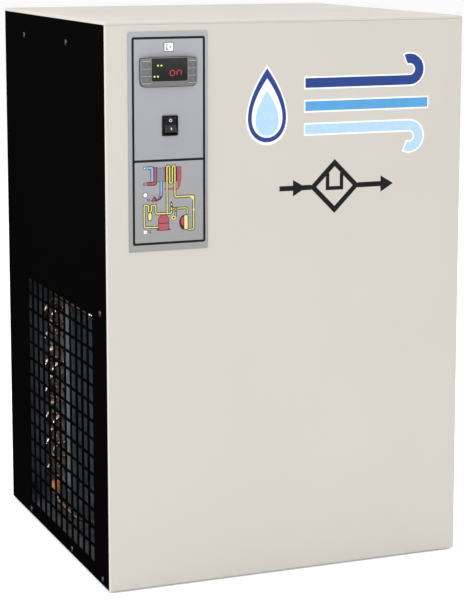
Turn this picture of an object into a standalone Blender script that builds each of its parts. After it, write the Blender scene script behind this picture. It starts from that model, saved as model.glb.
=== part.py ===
"""Refrigerated compressed-air dryer: a folded-sheet cabinet with its refrigeration circuit and air side.

Metres, +Z up. The origin is the middle of the footprint on the floor. The front faces -Y, and the
punched intake grille is in the left side panel, which faces -X. Every sub-part is one closed solid.
"""
import math

import bmesh
import bpy
from mathutils import Matrix, Vector

# Cabinet
WIDTH = 0.598
DEPTH = 0.562                  # front sheet to rear sheet
HEIGHT = 0.880
CONTROLS_PROUD = 0.009         # controller keys ahead of the front sheet
PORTS_PROUD = 0.028            # air sockets behind the rear sheet
FRONT_Y = CONTROLS_PROUD - (DEPTH + CONTROLS_PROUD + PORTS_PROUD) / 2
REAR_Y = FRONT_Y + DEPTH
SIDE_X = WIDTH / 2
SHEET = 0.0015                 # panel sheet thickness
GAP = 0.0003                   # clearance between parts that touch
CUT = 0.010                    # how far a cutter runs past the sheet it cuts
FOLD = 0.003                   # outer radius of the folded panel edges
FOLD_LAND = 0.0037             # how far back the front and rear panels' folded edges reach
FLANGE_REACH = 0.016           # depth of the panels' inner flanges
FLANGE_OUT = SIDE_X - 0.002
FLANGE_IN = FLANGE_OUT - SHEET
PANEL_BOTTOM = 0.003
COVER_BOTTOM = HEIGHT - 0.005
PANEL_TOP = COVER_BOTTOM - GAP
SIDE_Y0 = FRONT_Y + FOLD_LAND + GAP
SIDE_Y1 = REAR_Y - FOLD_LAND - GAP

# Base, feet, shelf and side frames
DECK_TOP = 0.024
DECK_THICK = 0.002
BASE_HALF_X = 0.2950
BASE_BOTTOM = 0.005
FOOT_RADIUS = 0.022
FOOT_X = 0.235
FOOT_Y = (FRONT_Y + 0.070, REAR_Y - 0.060)
FRAME_X0 = 0.2951
FRAME_X1 = 0.2971
POST_Y = (FRONT_Y + 0.018, FRONT_Y + 0.052)
RAIL_Z = (0.822, 0.856)
RAIL_REAR = REAR_Y - 0.018
SHELF_Z = 0.432
SHELF_HALF_X = 0.2948
SHELF_Y = (-0.110, 0.266)
SHELF_LIP = 0.012

# Left intake grille and the panel screws
GRILLE_Y = (FRONT_Y + 0.077, FRONT_Y + 0.439)
GRILLE_Z = (0.027, 0.424)
GRILLE_COLUMNS = 12
GRILLE_ROWS = 14
GRILLE_POST = 0.0085           # bar between two columns
GRILLE_BAR = 0.0045            # bar between two rows
SCREWS = (                     # distance behind the front sheet, height
    (0.197, 0.839),
    (0.437, 0.839),
    (0.035, 0.434),
    (0.035, 0.012),
    (0.197, 0.012),
    (0.437, 0.012),
)
SCREW_SHANK = 0.0020
SCREW_HEAD = 0.0048
SCREW_HOLE = 0.0025

# Right vents and rear exhaust
VENT_Y = (-0.170, 0.070)
VENT_Z0 = 0.070
VENT_ROWS = 9
VENT_SLOT = 0.012
VENT_PITCH = 0.026
LOUVRE_PROUD = 0.0020          # as far as the screw heads stand out of the left panel
EXHAUST_SLOT = (0.126, 0.014)
EXHAUST_WEB = 0.012
EXHAUST_ROWS = 10
EXHAUST_PITCH = 0.026

# Control plate, controller and rocker switch
CONTROL_X = -SIDE_X + 0.0992
PLATE_WIDTH = 0.1276
PLATE_Z = (0.532, 0.864)
PLATE_THICK = 0.0008
PLATE_FRONT = FRONT_Y - GAP - PLATE_THICK
CONTROLLER_Z = 0.803
CONTROLLER_WIDTH = 0.090
CONTROLLER_HEIGHT = 0.044
CONTROLLER_FACE_Z = 0.8037
CONTROLLER_CORNER = 0.005
CONTROLLER_FACE = FRONT_Y - 0.0083
CONTROLLER_BODY = (0.071, 0.029)
CONTROLLER_DEPTH = 0.055
WINDOW_WIDTH = 0.057
WINDOW_Z = (0.7902, 0.8246)
WINDOW_DEPTH = 0.0020
KEY_SIZE = (0.0110, 0.0088)
KEY_X = 0.0365
KEY_Z = (0.8144, 0.8036, 0.7928)
KEY_FACE = FRONT_Y - CONTROLS_PROUD
KEY_BACK = FRONT_Y - 0.0055
KEY_POCKET_BACK = FRONT_Y - 0.0043
SWITCH_X = CONTROL_X + 0.0025
SWITCH_Z = 0.7225
SWITCH_BEZEL = (0.0255, 0.0310)
SWITCH_BODY = (0.0220, 0.0284)
SWITCH_OPENING = (0.0200, 0.0264)
SWITCH_FACE = PLATE_FRONT - 0.0022
SWITCH_DEPTH = 0.022
ROCKER_HALF = (0.0096, 0.0117)
ROCKER_TILT = math.radians(11.0)
ROCKER_VALLEY = 0.0036         # how far the rocker's middle stands ahead of its pivot
ROCKER_BACK = 0.0060

# Electrical box and its capacitor
BOX_X = (-0.272, -0.126)
BOX_Y = (FRONT_Y + SHEET + 2 * GAP, FRONT_Y + 0.098)
BOX_Z = (0.536, 0.862)
CAPACITOR = (-0.235, -0.235, 0.545)
CAPACITOR_RADIUS = 0.020
CAPACITOR_LENGTH = 0.070

# Condenser
COIL_X = (-0.2570, 0.1270)
COIL_Y = (0.0665, 0.1325)
COIL_Z = (0.061, 0.390)
TUBE_PLATE = 0.0018
ROW_Y = (0.0775, 0.0995, 0.1215)
LEG_TOP = 0.3780
LEG_PITCH = 0.02343
LEGS = 14
BEND_REACH = 0.023
BEND_TUBE = 0.0100
BEND_PAIRS = ((0, 1), (4, 5), (8, 9), (10, 11))

# Fan
FAN_X = -0.065
FAN_Z = 0.2255
FAN_RADIUS = 0.132
FAN_BLADES = 5
FAN_HUB_RADIUS = 0.044
FAN_Y = 0.166
SHROUD_BACK = 0.150
COLLAR_RADIUS = 0.139
COLLAR_END = 0.186
MOTOR_RADIUS = 0.041
MOTOR_Y = (0.190, 0.244)
MOTOR_SHAFT = 0.0040
BRACKET_HALF_X = 0.152
BRACKET_THICK = 0.003
BRACKET_HEIGHT = 0.032

# Compressor
COMPRESSOR_XY = (0.175, -0.120)
COMPRESSOR_RADIUS = 0.086
COMPRESSOR_Z = (0.048, 0.268)
MOUNT_PLATE_Z = (0.0400, 0.0430)
MOUNT_HALF = (0.088, 0.074)
MOUNT_HOLE = 0.0070
GROMMET_NECK = 0.0064
GROMMET_FLANGE = 0.0130
STUB_Y = -0.130
STUB_TIP_X = 0.075
DISCHARGE_Z = 0.120
SUCTION_Z = 0.200
STUB_RADIUS = 0.0070

# Refrigerant pipes
PIPE_RADIUS = 0.0055
PIPE_BEND = 0.014
HEADER_X = -0.2720
DISCHARGE_TOP = 0.405
DISCHARGE_X = 0.030
SUCTION_X = 0.055
LIQUID_Z = 0.044
LIQUID_RISE_Y = -0.050         # where the liquid line starts to climb to the drier
DRIER_Y = -0.150
DRIER_Z = 0.068
DRIER_X = (-0.105, 0.000)
DRIER_RADIUS = 0.0125
CAPILLARY_RADIUS = 0.0015
CAPILLARY_AXIS = (0.022, -0.040)
CAPILLARY_COIL = 0.030
CAPILLARY_RISE_Y = -0.100
CAPILLARY_TURNS = 3
CAPILLARY_Z = (0.150, 0.180)

# Heat exchanger and air pipes
EXCHANGER_X = (-0.110, 0.130)
EXCHANGER_Y = (-0.100, 0.120)
EXCHANGER_Z = (0.434, 0.840)
BYPASS_X = -0.060
BYPASS_Z = 0.520
PORT_X = (-0.050, 0.070)
PORT_Z = 0.780
PORT_PIPE = 0.0240
PORT_SOCKET = 0.0330
PORT_BORE = 0.0224             # minor radius of a G 1 1/2 thread
PORT_SOCKET_Y0 = 0.2480
PORT_BORE_END = 0.140

# Condensate drain
DRAIN_Y = 0.050
DRAIN_Z = 0.490
VALVE_X = (EXCHANGER_X[1] + GAP, 0.1850)
VALVE_RADIUS = 0.0130
STEM_X = 0.158
STEM_TOP = 0.5130
LEVER_LENGTH = 0.062
LEVER_WIDTH = 0.013
LEVER_THICK = 0.0030
SOLENOID_X = (0.1853, 0.2300)
DRAIN_TUBE_X = 0.252
DRAIN_TUBE_RADIUS = 0.0040
FITTING_Y0 = 0.246
FITTING_NECK = 0.0080
FITTING_BORE = 0.0040
GLAND = (0.235, 0.100)
GLAND_NECK = 0.0078
GLAND_BORE = 0.0045


# ---------------------------------------------------------------- materials

def material(name, color, roughness, metallic=0.0):
    made = bpy.data.materials.new(name)
    made.use_nodes = True
    shader = made.node_tree.nodes["Principled BSDF"]
    shader.inputs["Base Color"].default_value = (*color, 1.0)
    shader.inputs["Roughness"].default_value = roughness
    shader.inputs["Metallic"].default_value = metallic
    made.diffuse_color = (*color, 1.0)
    return made


def make_materials():
    return {
        "beige": material("beige_paint", (0.69, 0.66, 0.60), 0.45),
        "black": material("black_paint", (0.012, 0.012, 0.013), 0.50),
        "zinc": material("zinc_steel", (0.55, 0.56, 0.58), 0.40, 1.0),
        "screw": material("black_screw", (0.10, 0.10, 0.11), 0.35, 0.6),
        "rubber": material("rubber", (0.02, 0.02, 0.02), 0.85),
        "plate": material("plate_print", (0.43, 0.44, 0.49), 0.55),
        "grey": material("grey_plastic", (0.30, 0.31, 0.31), 0.45),
        "window": material("dark_window", (0.03, 0.03, 0.03), 0.15),
        "switch": material("black_plastic", (0.02, 0.02, 0.02), 0.35),
        "fins": material("fin_aluminium", (0.30, 0.33, 0.35), 0.50, 1.0),
        "copper": material("copper", (0.72, 0.40, 0.26), 0.30, 1.0),
        "compressor": material("compressor_paint", (0.02, 0.02, 0.022), 0.35),
        "foam": material("insulation_foam", (0.03, 0.03, 0.03), 0.90),
        "brass": material("brass", (0.70, 0.55, 0.28), 0.30, 1.0),
        "red": material("red_plastic", (0.60, 0.04, 0.03), 0.45),
        "nylon": material("nylon_tube", (0.75, 0.77, 0.78), 0.40),
    }


# ---------------------------------------------------------------- shapes

def mesh_object(name, bm, look, location=(0.0, 0.0, 0.0)):
    """Makes an object from a bmesh, with its faces pointing out."""
    bmesh.ops.recalc_face_normals(bm, faces=bm.faces)
    mesh = bpy.data.meshes.new(name)
    bm.to_mesh(mesh)
    bm.free()
    mesh.materials.append(look)
    made = bpy.data.objects.new(name, mesh)
    made.location = location
    bpy.context.scene.collection.objects.link(made)
    return made


def smooth(made, angle=35.0):
    made.data.shade_smooth()
    made.data.set_sharp_from_angle(angle=math.radians(angle))
    return made


def add_box(bm, low, high):
    low = Vector(low)
    high = Vector(high)
    shift = Matrix.Translation((low + high) / 2)
    scale = Matrix.Diagonal((*(high - low), 1.0))
    return bmesh.ops.create_cube(bm, size=1.0, matrix=shift @ scale)["verts"]


def add_prism(bm, outline, axis, low, high):
    """Extrudes a closed outline along an axis; the outline holds the other two coordinates in order."""
    def place(point, along):
        if axis == "X":
            return (along, point[0], point[1])
        if axis == "Y":
            return (point[0], along, point[1])
        return (point[0], point[1], along)

    near = [bm.verts.new(place(p, low)) for p in outline]
    far = [bm.verts.new(place(p, high)) for p in outline]
    bm.faces.new(near)
    bm.faces.new(list(reversed(far)))
    for i, start in enumerate(near):
        j = (i + 1) % len(near)
        bm.faces.new((start, far[i], far[j], near[j]))


def add_turned(bm, profile, origin, axis, sides, closed=False):
    """Turns a profile of (radius, distance along the axis); a closed profile makes a ring with a bore."""
    origin = Vector(origin)
    along = {"X": Vector((1, 0, 0)), "Y": Vector((0, 1, 0)), "Z": Vector((0, 0, 1))}[axis]
    across = {"X": Vector((0, 1, 0)), "Y": Vector((0, 0, 1)), "Z": Vector((1, 0, 0))}[axis]
    third = along.cross(across)
    rings = []
    for radius, height in profile:
        centre = origin + along * height
        if radius == 0:
            rings.append([bm.verts.new(centre)])
            continue
        ring = []
        for k in range(sides):
            turn = 2 * math.pi * k / sides
            ring.append(bm.verts.new(centre + radius * (across * math.cos(turn) + third * math.sin(turn))))
        rings.append(ring)
    pairs = list(zip(rings, rings[1:]))
    if closed:
        pairs.append((rings[-1], rings[0]))
    for first, second in pairs:
        for k in range(sides):
            m = (k + 1) % sides
            low = (first[k % len(first)], first[m % len(first)])
            high = (second[m % len(second)], second[k % len(second)])
            bm.faces.new(list(dict.fromkeys(low + high)))


def add_sweep(bm, points, radius, sides):
    """Sweeps a circle along a path, with flat ends."""
    points = [Vector(p) for p in points]
    first = (points[1] - points[0]).normalized()
    side = first.orthogonal().normalized()
    rings = []
    for i, point in enumerate(points):
        before = points[max(i - 1, 0)]
        after = points[min(i + 1, len(points) - 1)]
        tangent = (after - before).normalized()
        side = (side - tangent * side.dot(tangent)).normalized()
        up = tangent.cross(side)
        ring = []
        for k in range(sides):
            turn = 2 * math.pi * k / sides
            ring.append(bm.verts.new(point + radius * (side * math.cos(turn) + up * math.sin(turn))))
        rings.append(ring)
    for near, far in zip(rings, rings[1:]):
        for k in range(sides):
            m = (k + 1) % sides
            bm.faces.new((near[k], near[m], far[m], far[k]))
    bm.faces.new(rings[0])
    bm.faces.new(rings[-1])


def bent(corners, radius, steps=3):
    """The path through the corners with each inner corner rounded to the bend radius."""
    corners = [Vector(c) for c in corners]
    path = [corners[0]]
    for before, corner, after in zip(corners, corners[1:], corners[2:]):
        back = (before - corner).normalized()
        ahead = (after - corner).normalized()
        half = back.angle(ahead) / 2
        reach = radius / math.tan(half)
        centre = corner + (back + ahead).normalized() * (radius / math.sin(half))
        start = corner + back * reach - centre
        end = corner + ahead * reach - centre
        turn = start.angle(end)
        for k in range(steps + 1):
            share = k / steps
            spot = start * math.sin(turn * (1 - share)) + end * math.sin(turn * share)
            path.append(centre + spot / math.sin(turn))
    path.append(corners[-1])
    return path


def arc(centre, radius, start, end, steps):
    """Points on an arc, from start to end in degrees."""
    points = []
    for k in range(steps + 1):
        turn = math.radians(start + (end - start) * k / steps)
        points.append((centre[0] + radius * math.cos(turn), centre[1] + radius * math.sin(turn)))
    return points


def rounded_outline(centre, size, radius, steps=3):
    """A rounded rectangle's outline."""
    half_u = size[0] / 2 - radius
    half_v = size[1] / 2 - radius
    points = []
    for turn, (u, v) in enumerate(((1, 1), (-1, 1), (-1, -1), (1, -1))):
        corner = (centre[0] + u * half_u, centre[1] + v * half_v)
        points += arc(corner, radius, 90 * turn, 90 * turn + 90, steps)
    return points


def box(name, low, high, look):
    bm = bmesh.new()
    add_box(bm, low, high)
    return mesh_object(name, bm, look)


def prism(name, outline, axis, low, high, look):
    bm = bmesh.new()
    add_prism(bm, outline, axis, low, high)
    return mesh_object(name, bm, look)


def turned(name, profile, origin, axis, sides, look, closed=False):
    bm = bmesh.new()
    add_turned(bm, profile, origin, axis, sides, closed)
    return smooth(mesh_object(name, bm, look))


def pipe(name, corners, radius, look, bend=PIPE_BEND, sides=8):
    bm = bmesh.new()
    add_sweep(bm, bent(corners, bend), radius, sides)
    return smooth(mesh_object(name, bm, look), 50.0)


def bevel(made, width, segments):
    shaper = made.modifiers.new("rounded", "BEVEL")
    shaper.width = width
    shaper.segments = segments
    shaper.limit_method = "ANGLE"
    shaper.angle_limit = math.radians(40.0)


def combine(made, tool, operation):
    """Cuts the tool out of an object or joins it on, and hides the tool."""
    step = made.modifiers.new(operation.lower(), "BOOLEAN")
    step.operation = operation
    step.solver = "EXACT"
    step.object = tool
    tool.hide_render = True
    tool.display_type = "WIRE"
    tool.hide_set(True)


def cut(made, tool):
    combine(made, tool, "DIFFERENCE")


def join(made, tool):
    combine(made, tool, "UNION")


def boxes_tool(name, boxes, look):
    """One cutter holding separate boxes."""
    bm = bmesh.new()
    for low, high in boxes:
        add_box(bm, low, high)
    return mesh_object(name, bm, look)


def rods_tool(name, rods, axis, look):
    """One cutter holding separate round rods: (centre, radius, from, to, sides)."""
    bm = bmesh.new()
    for centre, radius, low, high, sides in rods:
        add_turned(bm, ((0, low), (radius, low), (radius, high), (0, high)), centre, axis, sides)
    return mesh_object(name, bm, look)


# ---------------------------------------------------------------- cabinet

def panel_outline(outer_y, inward):
    """Plan of the front or rear panel, with its folds and flanges. inward is 1 towards +Y, -1 towards -Y."""
    def at(distance):
        return outer_y + inward * distance

    right = [(SIDE_X - FOLD + FOLD * math.sin(a), at(FOLD - FOLD * math.cos(a)))
             for a in (math.radians(t) for t in (0, 30, 60, 90))]
    right += [
        (SIDE_X, at(FOLD_LAND)),
        (FLANGE_OUT, at(FOLD_LAND)),
        (FLANGE_OUT, at(FLANGE_REACH)),
        (FLANGE_IN, at(FLANGE_REACH)),
        (FLANGE_IN, at(SHEET)),
    ]
    left = [(-x, y) for x, y in reversed(right)]
    return right + left


def control_opening_tool(looks):
    """The controller's and the switch's holes through the front panel and the control plate."""
    openings = []
    places = ((CONTROL_X, CONTROLLER_Z, CONTROLLER_BODY), (SWITCH_X, SWITCH_Z, SWITCH_BODY))
    for x, z, (width, height) in places:
        u = width / 2 + GAP
        v = height / 2 + GAP
        openings.append(((x - u, FRONT_Y - CUT, z - v), (x + u, FRONT_Y + CUT, z + v)))
    return boxes_tool("control_openings", openings, looks["beige"])


def front_panel(looks, openings):
    made = prism("front_panel", panel_outline(FRONT_Y, 1), "Z", PANEL_BOTTOM, PANEL_TOP, looks["beige"])
    cut(made, openings)
    return made


def rear_panel(looks):
    made = prism("rear_panel", panel_outline(REAR_Y, -1), "Z", PANEL_BOTTOM, PANEL_TOP, looks["beige"])
    slots = []
    low = FAN_Z - (EXHAUST_ROWS - 1) * EXHAUST_PITCH / 2
    for row in range(EXHAUST_ROWS):
        z = low + row * EXHAUST_PITCH
        for side in (-1, 1):
            x = FAN_X + side * (EXHAUST_WEB + EXHAUST_SLOT[0]) / 2
            half_x = EXHAUST_SLOT[0] / 2
            half_z = EXHAUST_SLOT[1] / 2
            slots.append(((x - half_x, REAR_Y - CUT, z - half_z), (x + half_x, REAR_Y + CUT, z + half_z)))
    cut(made, boxes_tool("exhaust_slots", slots, looks["beige"]))
    rods = [((x, REAR_Y, PORT_Z), PORT_SOCKET + 0.0015, -CUT, CUT, 24) for x in PORT_X]
    rods.append(((DRAIN_TUBE_X, REAR_Y, DRAIN_Z), FITTING_NECK + 0.0005, -CUT, CUT, 12))
    rods.append(((GLAND[0], REAR_Y, GLAND[1]), GLAND_NECK + 0.0005, -CUT, CUT, 12))
    cut(made, rods_tool("rear_holes", rods, "Y", looks["beige"]))
    return made


def grille_cells():
    """The punched cells, as (y0, y1, z0, z1)."""
    width = (GRILLE_Y[1] - GRILLE_Y[0] - (GRILLE_COLUMNS - 1) * GRILLE_POST) / GRILLE_COLUMNS
    height = (GRILLE_Z[1] - GRILLE_Z[0] - (GRILLE_ROWS - 1) * GRILLE_BAR) / GRILLE_ROWS
    cells = []
    for column in range(GRILLE_COLUMNS):
        y = GRILLE_Y[0] + column * (width + GRILLE_POST)
        for row in range(GRILLE_ROWS):
            z = GRILLE_Z[0] + row * (height + GRILLE_BAR)
            cells.append((y, y + width, z, z + height))
    return cells


def left_side_panel(looks, screw_holes):
    low = (-SIDE_X, SIDE_Y0, PANEL_BOTTOM)
    high = (-SIDE_X + SHEET, SIDE_Y1, PANEL_TOP)
    made = box("left_side_panel", low, high, looks["black"])
    cells = [((-SIDE_X - CUT, y0, z0), (-SIDE_X + CUT, y1, z1)) for y0, y1, z0, z1 in grille_cells()]
    cut(made, boxes_tool("grille_cells", cells, looks["black"]))
    cut(made, screw_holes)
    return made


def right_side_panel(looks):
    low = (SIDE_X - SHEET, SIDE_Y0, PANEL_BOTTOM)
    high = (SIDE_X, SIDE_Y1, PANEL_TOP)
    made = box("right_side_panel", low, high, looks["black"])
    slots = []
    for row in range(VENT_ROWS):
        z = VENT_Z0 + row * VENT_PITCH
        slots.append(((SIDE_X - CUT, VENT_Y[0], z), (SIDE_X + CUT, VENT_Y[1], z + VENT_SLOT)))
    cut(made, boxes_tool("side_vents", slots, looks["black"]))
    hoods = bmesh.new()
    for row in range(VENT_ROWS):
        top = VENT_Z0 + row * VENT_PITCH + VENT_SLOT
        outline = (
            (SIDE_X - SHEET, top + 0.0060),
            (SIDE_X, top + 0.0060),
            (SIDE_X + LOUVRE_PROUD, top - 0.0040),
            (SIDE_X + LOUVRE_PROUD - SHEET, top - 0.0040),
            (SIDE_X - SHEET, top + 0.0010),
        )
        add_prism(hoods, outline, "Y", VENT_Y[0] - 0.004, VENT_Y[1] + 0.004)
    join(made, mesh_object("vent_hoods", hoods, looks["black"]))
    return made


def top_cover(looks):
    bm = bmesh.new()
    add_prism(
        bm,
        rounded_outline((0, (FRONT_Y + REAR_Y) / 2), (WIDTH, DEPTH), FOLD, 3),
        "Z",
        COVER_BOTTOM,
        HEIGHT,
    )
    rim = [e for e in bm.edges if all(v.co.z > HEIGHT - GAP for v in e.verts)]
    bmesh.ops.bevel(bm, geom=rim, offset=FOLD * 0.9, segments=3, profile=0.5, affect="EDGES")
    made = mesh_object("top_cover", bm, looks["beige"])
    hollow = ((-SIDE_X + FOLD, FRONT_Y + FOLD, 0.8), (SIDE_X - FOLD, REAR_Y - FOLD, HEIGHT - SHEET))
    cut(made, boxes_tool("cover_hollow", (hollow,), looks["beige"]))
    return smooth(made)


def base_pan(looks, screw_holes):
    low = (-BASE_HALF_X, FRONT_Y + SHEET + 2 * GAP, BASE_BOTTOM)
    high = (BASE_HALF_X, REAR_Y - SHEET - 2 * GAP, DECK_TOP)
    made = box("base_pan", low, high, looks["zinc"])
    under = (
        (low[0] + DECK_THICK, low[1] + DECK_THICK, 0.0),
        (high[0] - DECK_THICK, high[1] - DECK_THICK, DECK_TOP - DECK_THICK),
    )
    cut(made, boxes_tool("base_hollow", (under,), looks["zinc"]))
    cut(made, screw_holes)
    return made


def feet(looks):
    top = DECK_TOP - DECK_THICK - GAP
    profile = ((0, 0), (FOOT_RADIUS - 0.002, 0), (FOOT_RADIUS, 0.002), (FOOT_RADIUS - 0.004, top), (0, top))
    for end, y in zip(("front", "rear"), FOOT_Y):
        for side, x in (("left", -FOOT_X), ("right", FOOT_X)):
            turned(f"foot_{end}_{side}", profile, (x, y, 0), "Z", 16, looks["rubber"])


def side_frame(name, sign, looks, screw_holes):
    """One plate: the front upright with the top rail running back from it."""
    outline = (
        (POST_Y[0], DECK_TOP + GAP),
        (POST_Y[1], DECK_TOP + GAP),
        (POST_Y[1], RAIL_Z[0]),
        (RAIL_REAR, RAIL_Z[0]),
        (RAIL_REAR, RAIL_Z[1]),
        (POST_Y[0], RAIL_Z[1]),
    )
    low, high = sorted((sign * FRAME_X0, sign * FRAME_X1))
    made = prism(name, outline, "X", low, high, looks["zinc"])
    if screw_holes:
        cut(made, screw_holes)
    return made


def upper_shelf(looks):
    top = SHELF_Z + SHEET
    outline = (
        (SHELF_Y[0], SHELF_Z - SHELF_LIP),
        (SHELF_Y[0] + SHEET, SHELF_Z - SHELF_LIP),
        (SHELF_Y[0] + SHEET, SHELF_Z),
        (SHELF_Y[1] - SHEET, SHELF_Z),
        (SHELF_Y[1] - SHEET, SHELF_Z - SHELF_LIP),
        (SHELF_Y[1], SHELF_Z - SHELF_LIP),
        (SHELF_Y[1], top),
        (SHELF_Y[0], top),
    )
    return prism("upper_shelf", outline, "X", -SHELF_HALF_X, SHELF_HALF_X, looks["zinc"])


def screw_hole_tool(looks):
    rods = [((0, FRONT_Y + back, z), SCREW_HOLE, -SIDE_X - 0.01, -SIDE_X + 0.012, 8) for back, z in SCREWS]
    return rods_tool("screw_holes", rods, "X", looks["zinc"])


def panel_screws(looks):
    """Domed heads outside the left panel, shanks through it."""
    head = -SIDE_X - GAP
    profile = (
        (0, head - 0.0017),
        (SCREW_HEAD * 0.6, head - 0.0014),
        (SCREW_HEAD, head),
        (SCREW_SHANK, head),
        (SCREW_SHANK, -SIDE_X + 0.0065),
        (0, -SIDE_X + 0.0065),
    )
    for number, (back, z) in enumerate(SCREWS, 1):
        turned(f"side_screw_{number}", profile, (0, FRONT_Y + back, z), "X", 10, looks["screw"])


# ---------------------------------------------------------------- controls

def control_plate(looks, openings):
    centre = (CONTROL_X, (PLATE_Z[0] + PLATE_Z[1]) / 2)
    outline = rounded_outline(centre, (PLATE_WIDTH, PLATE_Z[1] - PLATE_Z[0]), 0.002, 2)
    made = prism("control_plate", outline, "Y", PLATE_FRONT, FRONT_Y - GAP, looks["plate"])
    cut(made, openings)
    return made


def key_places():
    """The six controller keys: (name, x, z)."""
    places = []
    for side, sign in (("left", -1), ("right", 1)):
        for row, z in enumerate(KEY_Z, 1):
            places.append((f"controller_key_{side}_{row}", CONTROL_X + sign * KEY_X, z))
    return places


def controller_housing(looks):
    size = (CONTROLLER_WIDTH, CONTROLLER_HEIGHT)
    outline = rounded_outline((CONTROL_X, CONTROLLER_FACE_Z), size, CONTROLLER_CORNER, 3)
    bm = bmesh.new()
    add_prism(bm, outline, "Y", CONTROLLER_FACE, PLATE_FRONT - GAP)
    rim = [e for e in bm.edges if all(v.co.y < CONTROLLER_FACE + GAP for v in e.verts)]
    bmesh.ops.bevel(bm, geom=rim, offset=0.0015, segments=2, profile=0.5, affect="EDGES")
    made = mesh_object("controller_housing", bm, looks["grey"])
    half_u = CONTROLLER_BODY[0] / 2
    half_v = CONTROLLER_BODY[1] / 2
    body = box(
        "controller_body",
        (CONTROL_X - half_u, PLATE_FRONT - 0.002, CONTROLLER_Z - half_v),
        (CONTROL_X + half_u, FRONT_Y + CONTROLLER_DEPTH, CONTROLLER_Z + half_v),
        looks["grey"],
    )
    join(made, body)
    front = CONTROLLER_FACE - 0.01
    pockets = [(
        (CONTROL_X - WINDOW_WIDTH / 2, front, WINDOW_Z[0]),
        (CONTROL_X + WINDOW_WIDTH / 2, CONTROLLER_FACE + WINDOW_DEPTH + GAP, WINDOW_Z[1]),
    )]
    half_u = KEY_SIZE[0] / 2 + GAP
    half_v = KEY_SIZE[1] / 2 + GAP
    for _, x, z in key_places():
        pockets.append(((x - half_u, front, z - half_v), (x + half_u, KEY_POCKET_BACK, z + half_v)))
    cut(made, boxes_tool("controller_pockets", pockets, looks["grey"]))
    return made


def display_window(looks):
    low = (CONTROL_X - WINDOW_WIDTH / 2 + GAP, CONTROLLER_FACE, WINDOW_Z[0] + GAP)
    high = (CONTROL_X + WINDOW_WIDTH / 2 - GAP, CONTROLLER_FACE + WINDOW_DEPTH, WINDOW_Z[1] - GAP)
    return box("display_window", low, high, looks["window"])


def controller_keys(looks):
    middle = (KEY_FACE + KEY_BACK) / 2
    half = (KEY_SIZE[0] / 2, (KEY_BACK - KEY_FACE) / 2, KEY_SIZE[1] / 2)
    for name, x, z in key_places():
        bm = bmesh.new()
        add_box(bm, [-h for h in half], half)
        made = mesh_object(name, bm, looks["grey"], (x, middle, z))
        bevel(made, 0.0004, 1)


def switch_housing(looks):
    outline = rounded_outline((SWITCH_X, SWITCH_Z), SWITCH_BEZEL, 0.002, 2)
    made = prism("switch_housing", outline, "Y", SWITCH_FACE, PLATE_FRONT - GAP, looks["switch"])
    half_u = SWITCH_BODY[0] / 2
    half_v = SWITCH_BODY[1] / 2
    body = box(
        "switch_body",
        (SWITCH_X - half_u, PLATE_FRONT - 0.001, SWITCH_Z - half_v),
        (SWITCH_X + half_u, FRONT_Y + SWITCH_DEPTH, SWITCH_Z + half_v),
        looks["switch"],
    )
    join(made, body)
    half_u = SWITCH_OPENING[0] / 2
    half_v = SWITCH_OPENING[1] / 2
    well = (
        (SWITCH_X - half_u, SWITCH_FACE - 0.01, SWITCH_Z - half_v),
        (SWITCH_X + half_u, FRONT_Y + SWITCH_DEPTH - 0.008, SWITCH_Z + half_v),
    )
    cut(made, boxes_tool("switch_well", (well,), looks["switch"]))
    return made


def rocker_actuator(looks):
    """A shallow V in side view, with its origin on the pivot, tilted so that its upper half is pressed."""
    rise = ROCKER_HALF[1] * math.tan(ROCKER_TILT)
    outline = (
        (-ROCKER_VALLEY, 0.0),
        (-ROCKER_VALLEY - rise, ROCKER_HALF[1]),
        (0.0, ROCKER_HALF[1]),
        (ROCKER_BACK, ROCKER_HALF[1] * 0.5),
        (ROCKER_BACK, -ROCKER_HALF[1] * 0.5),
        (0.0, -ROCKER_HALF[1]),
        (-ROCKER_VALLEY - rise, -ROCKER_HALF[1]),
    )
    bm = bmesh.new()
    add_prism(bm, outline, "X", -ROCKER_HALF[0], ROCKER_HALF[0])
    made = mesh_object("rocker_actuator", bm, looks["switch"], (SWITCH_X, FRONT_Y, SWITCH_Z))
    made.rotation_euler = (-ROCKER_TILT, 0, 0)
    return made


def electrical_box(looks):
    made = box(
        "electrical_box",
        (BOX_X[0], BOX_Y[0], BOX_Z[0]),
        (BOX_X[1], BOX_Y[1], BOX_Z[1]),
        looks["zinc"],
    )
    inside = (
        (BOX_X[0] + SHEET, BOX_Y[0] - 0.01, BOX_Z[0] + SHEET),
        (BOX_X[1] - SHEET, BOX_Y[1] - SHEET, BOX_Z[1] - SHEET),
    )
    cut(made, boxes_tool("box_inside", (inside,), looks["zinc"]))
    return made


def run_capacitor(looks):
    r = CAPACITOR_RADIUS
    h = CAPACITOR_LENGTH
    profile = ((0, 0), (r - 0.002, 0), (r, 0.002), (r, h - 0.004), (r - 0.004, h), (0, h))
    return turned("run_capacitor", profile, CAPACITOR, "Z", 16, looks["fins"])


# ---------------------------------------------------------------- condenser and fan

def fin_pack(looks):
    low = (COIL_X[0] + TUBE_PLATE + GAP, COIL_Y[0], COIL_Z[0])
    high = (COIL_X[1] - TUBE_PLATE - GAP, COIL_Y[1], COIL_Z[1])
    return box("condenser_fin_pack", low, high, looks["fins"])


def leg_height(index):
    return LEG_TOP - index * LEG_PITCH


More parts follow.
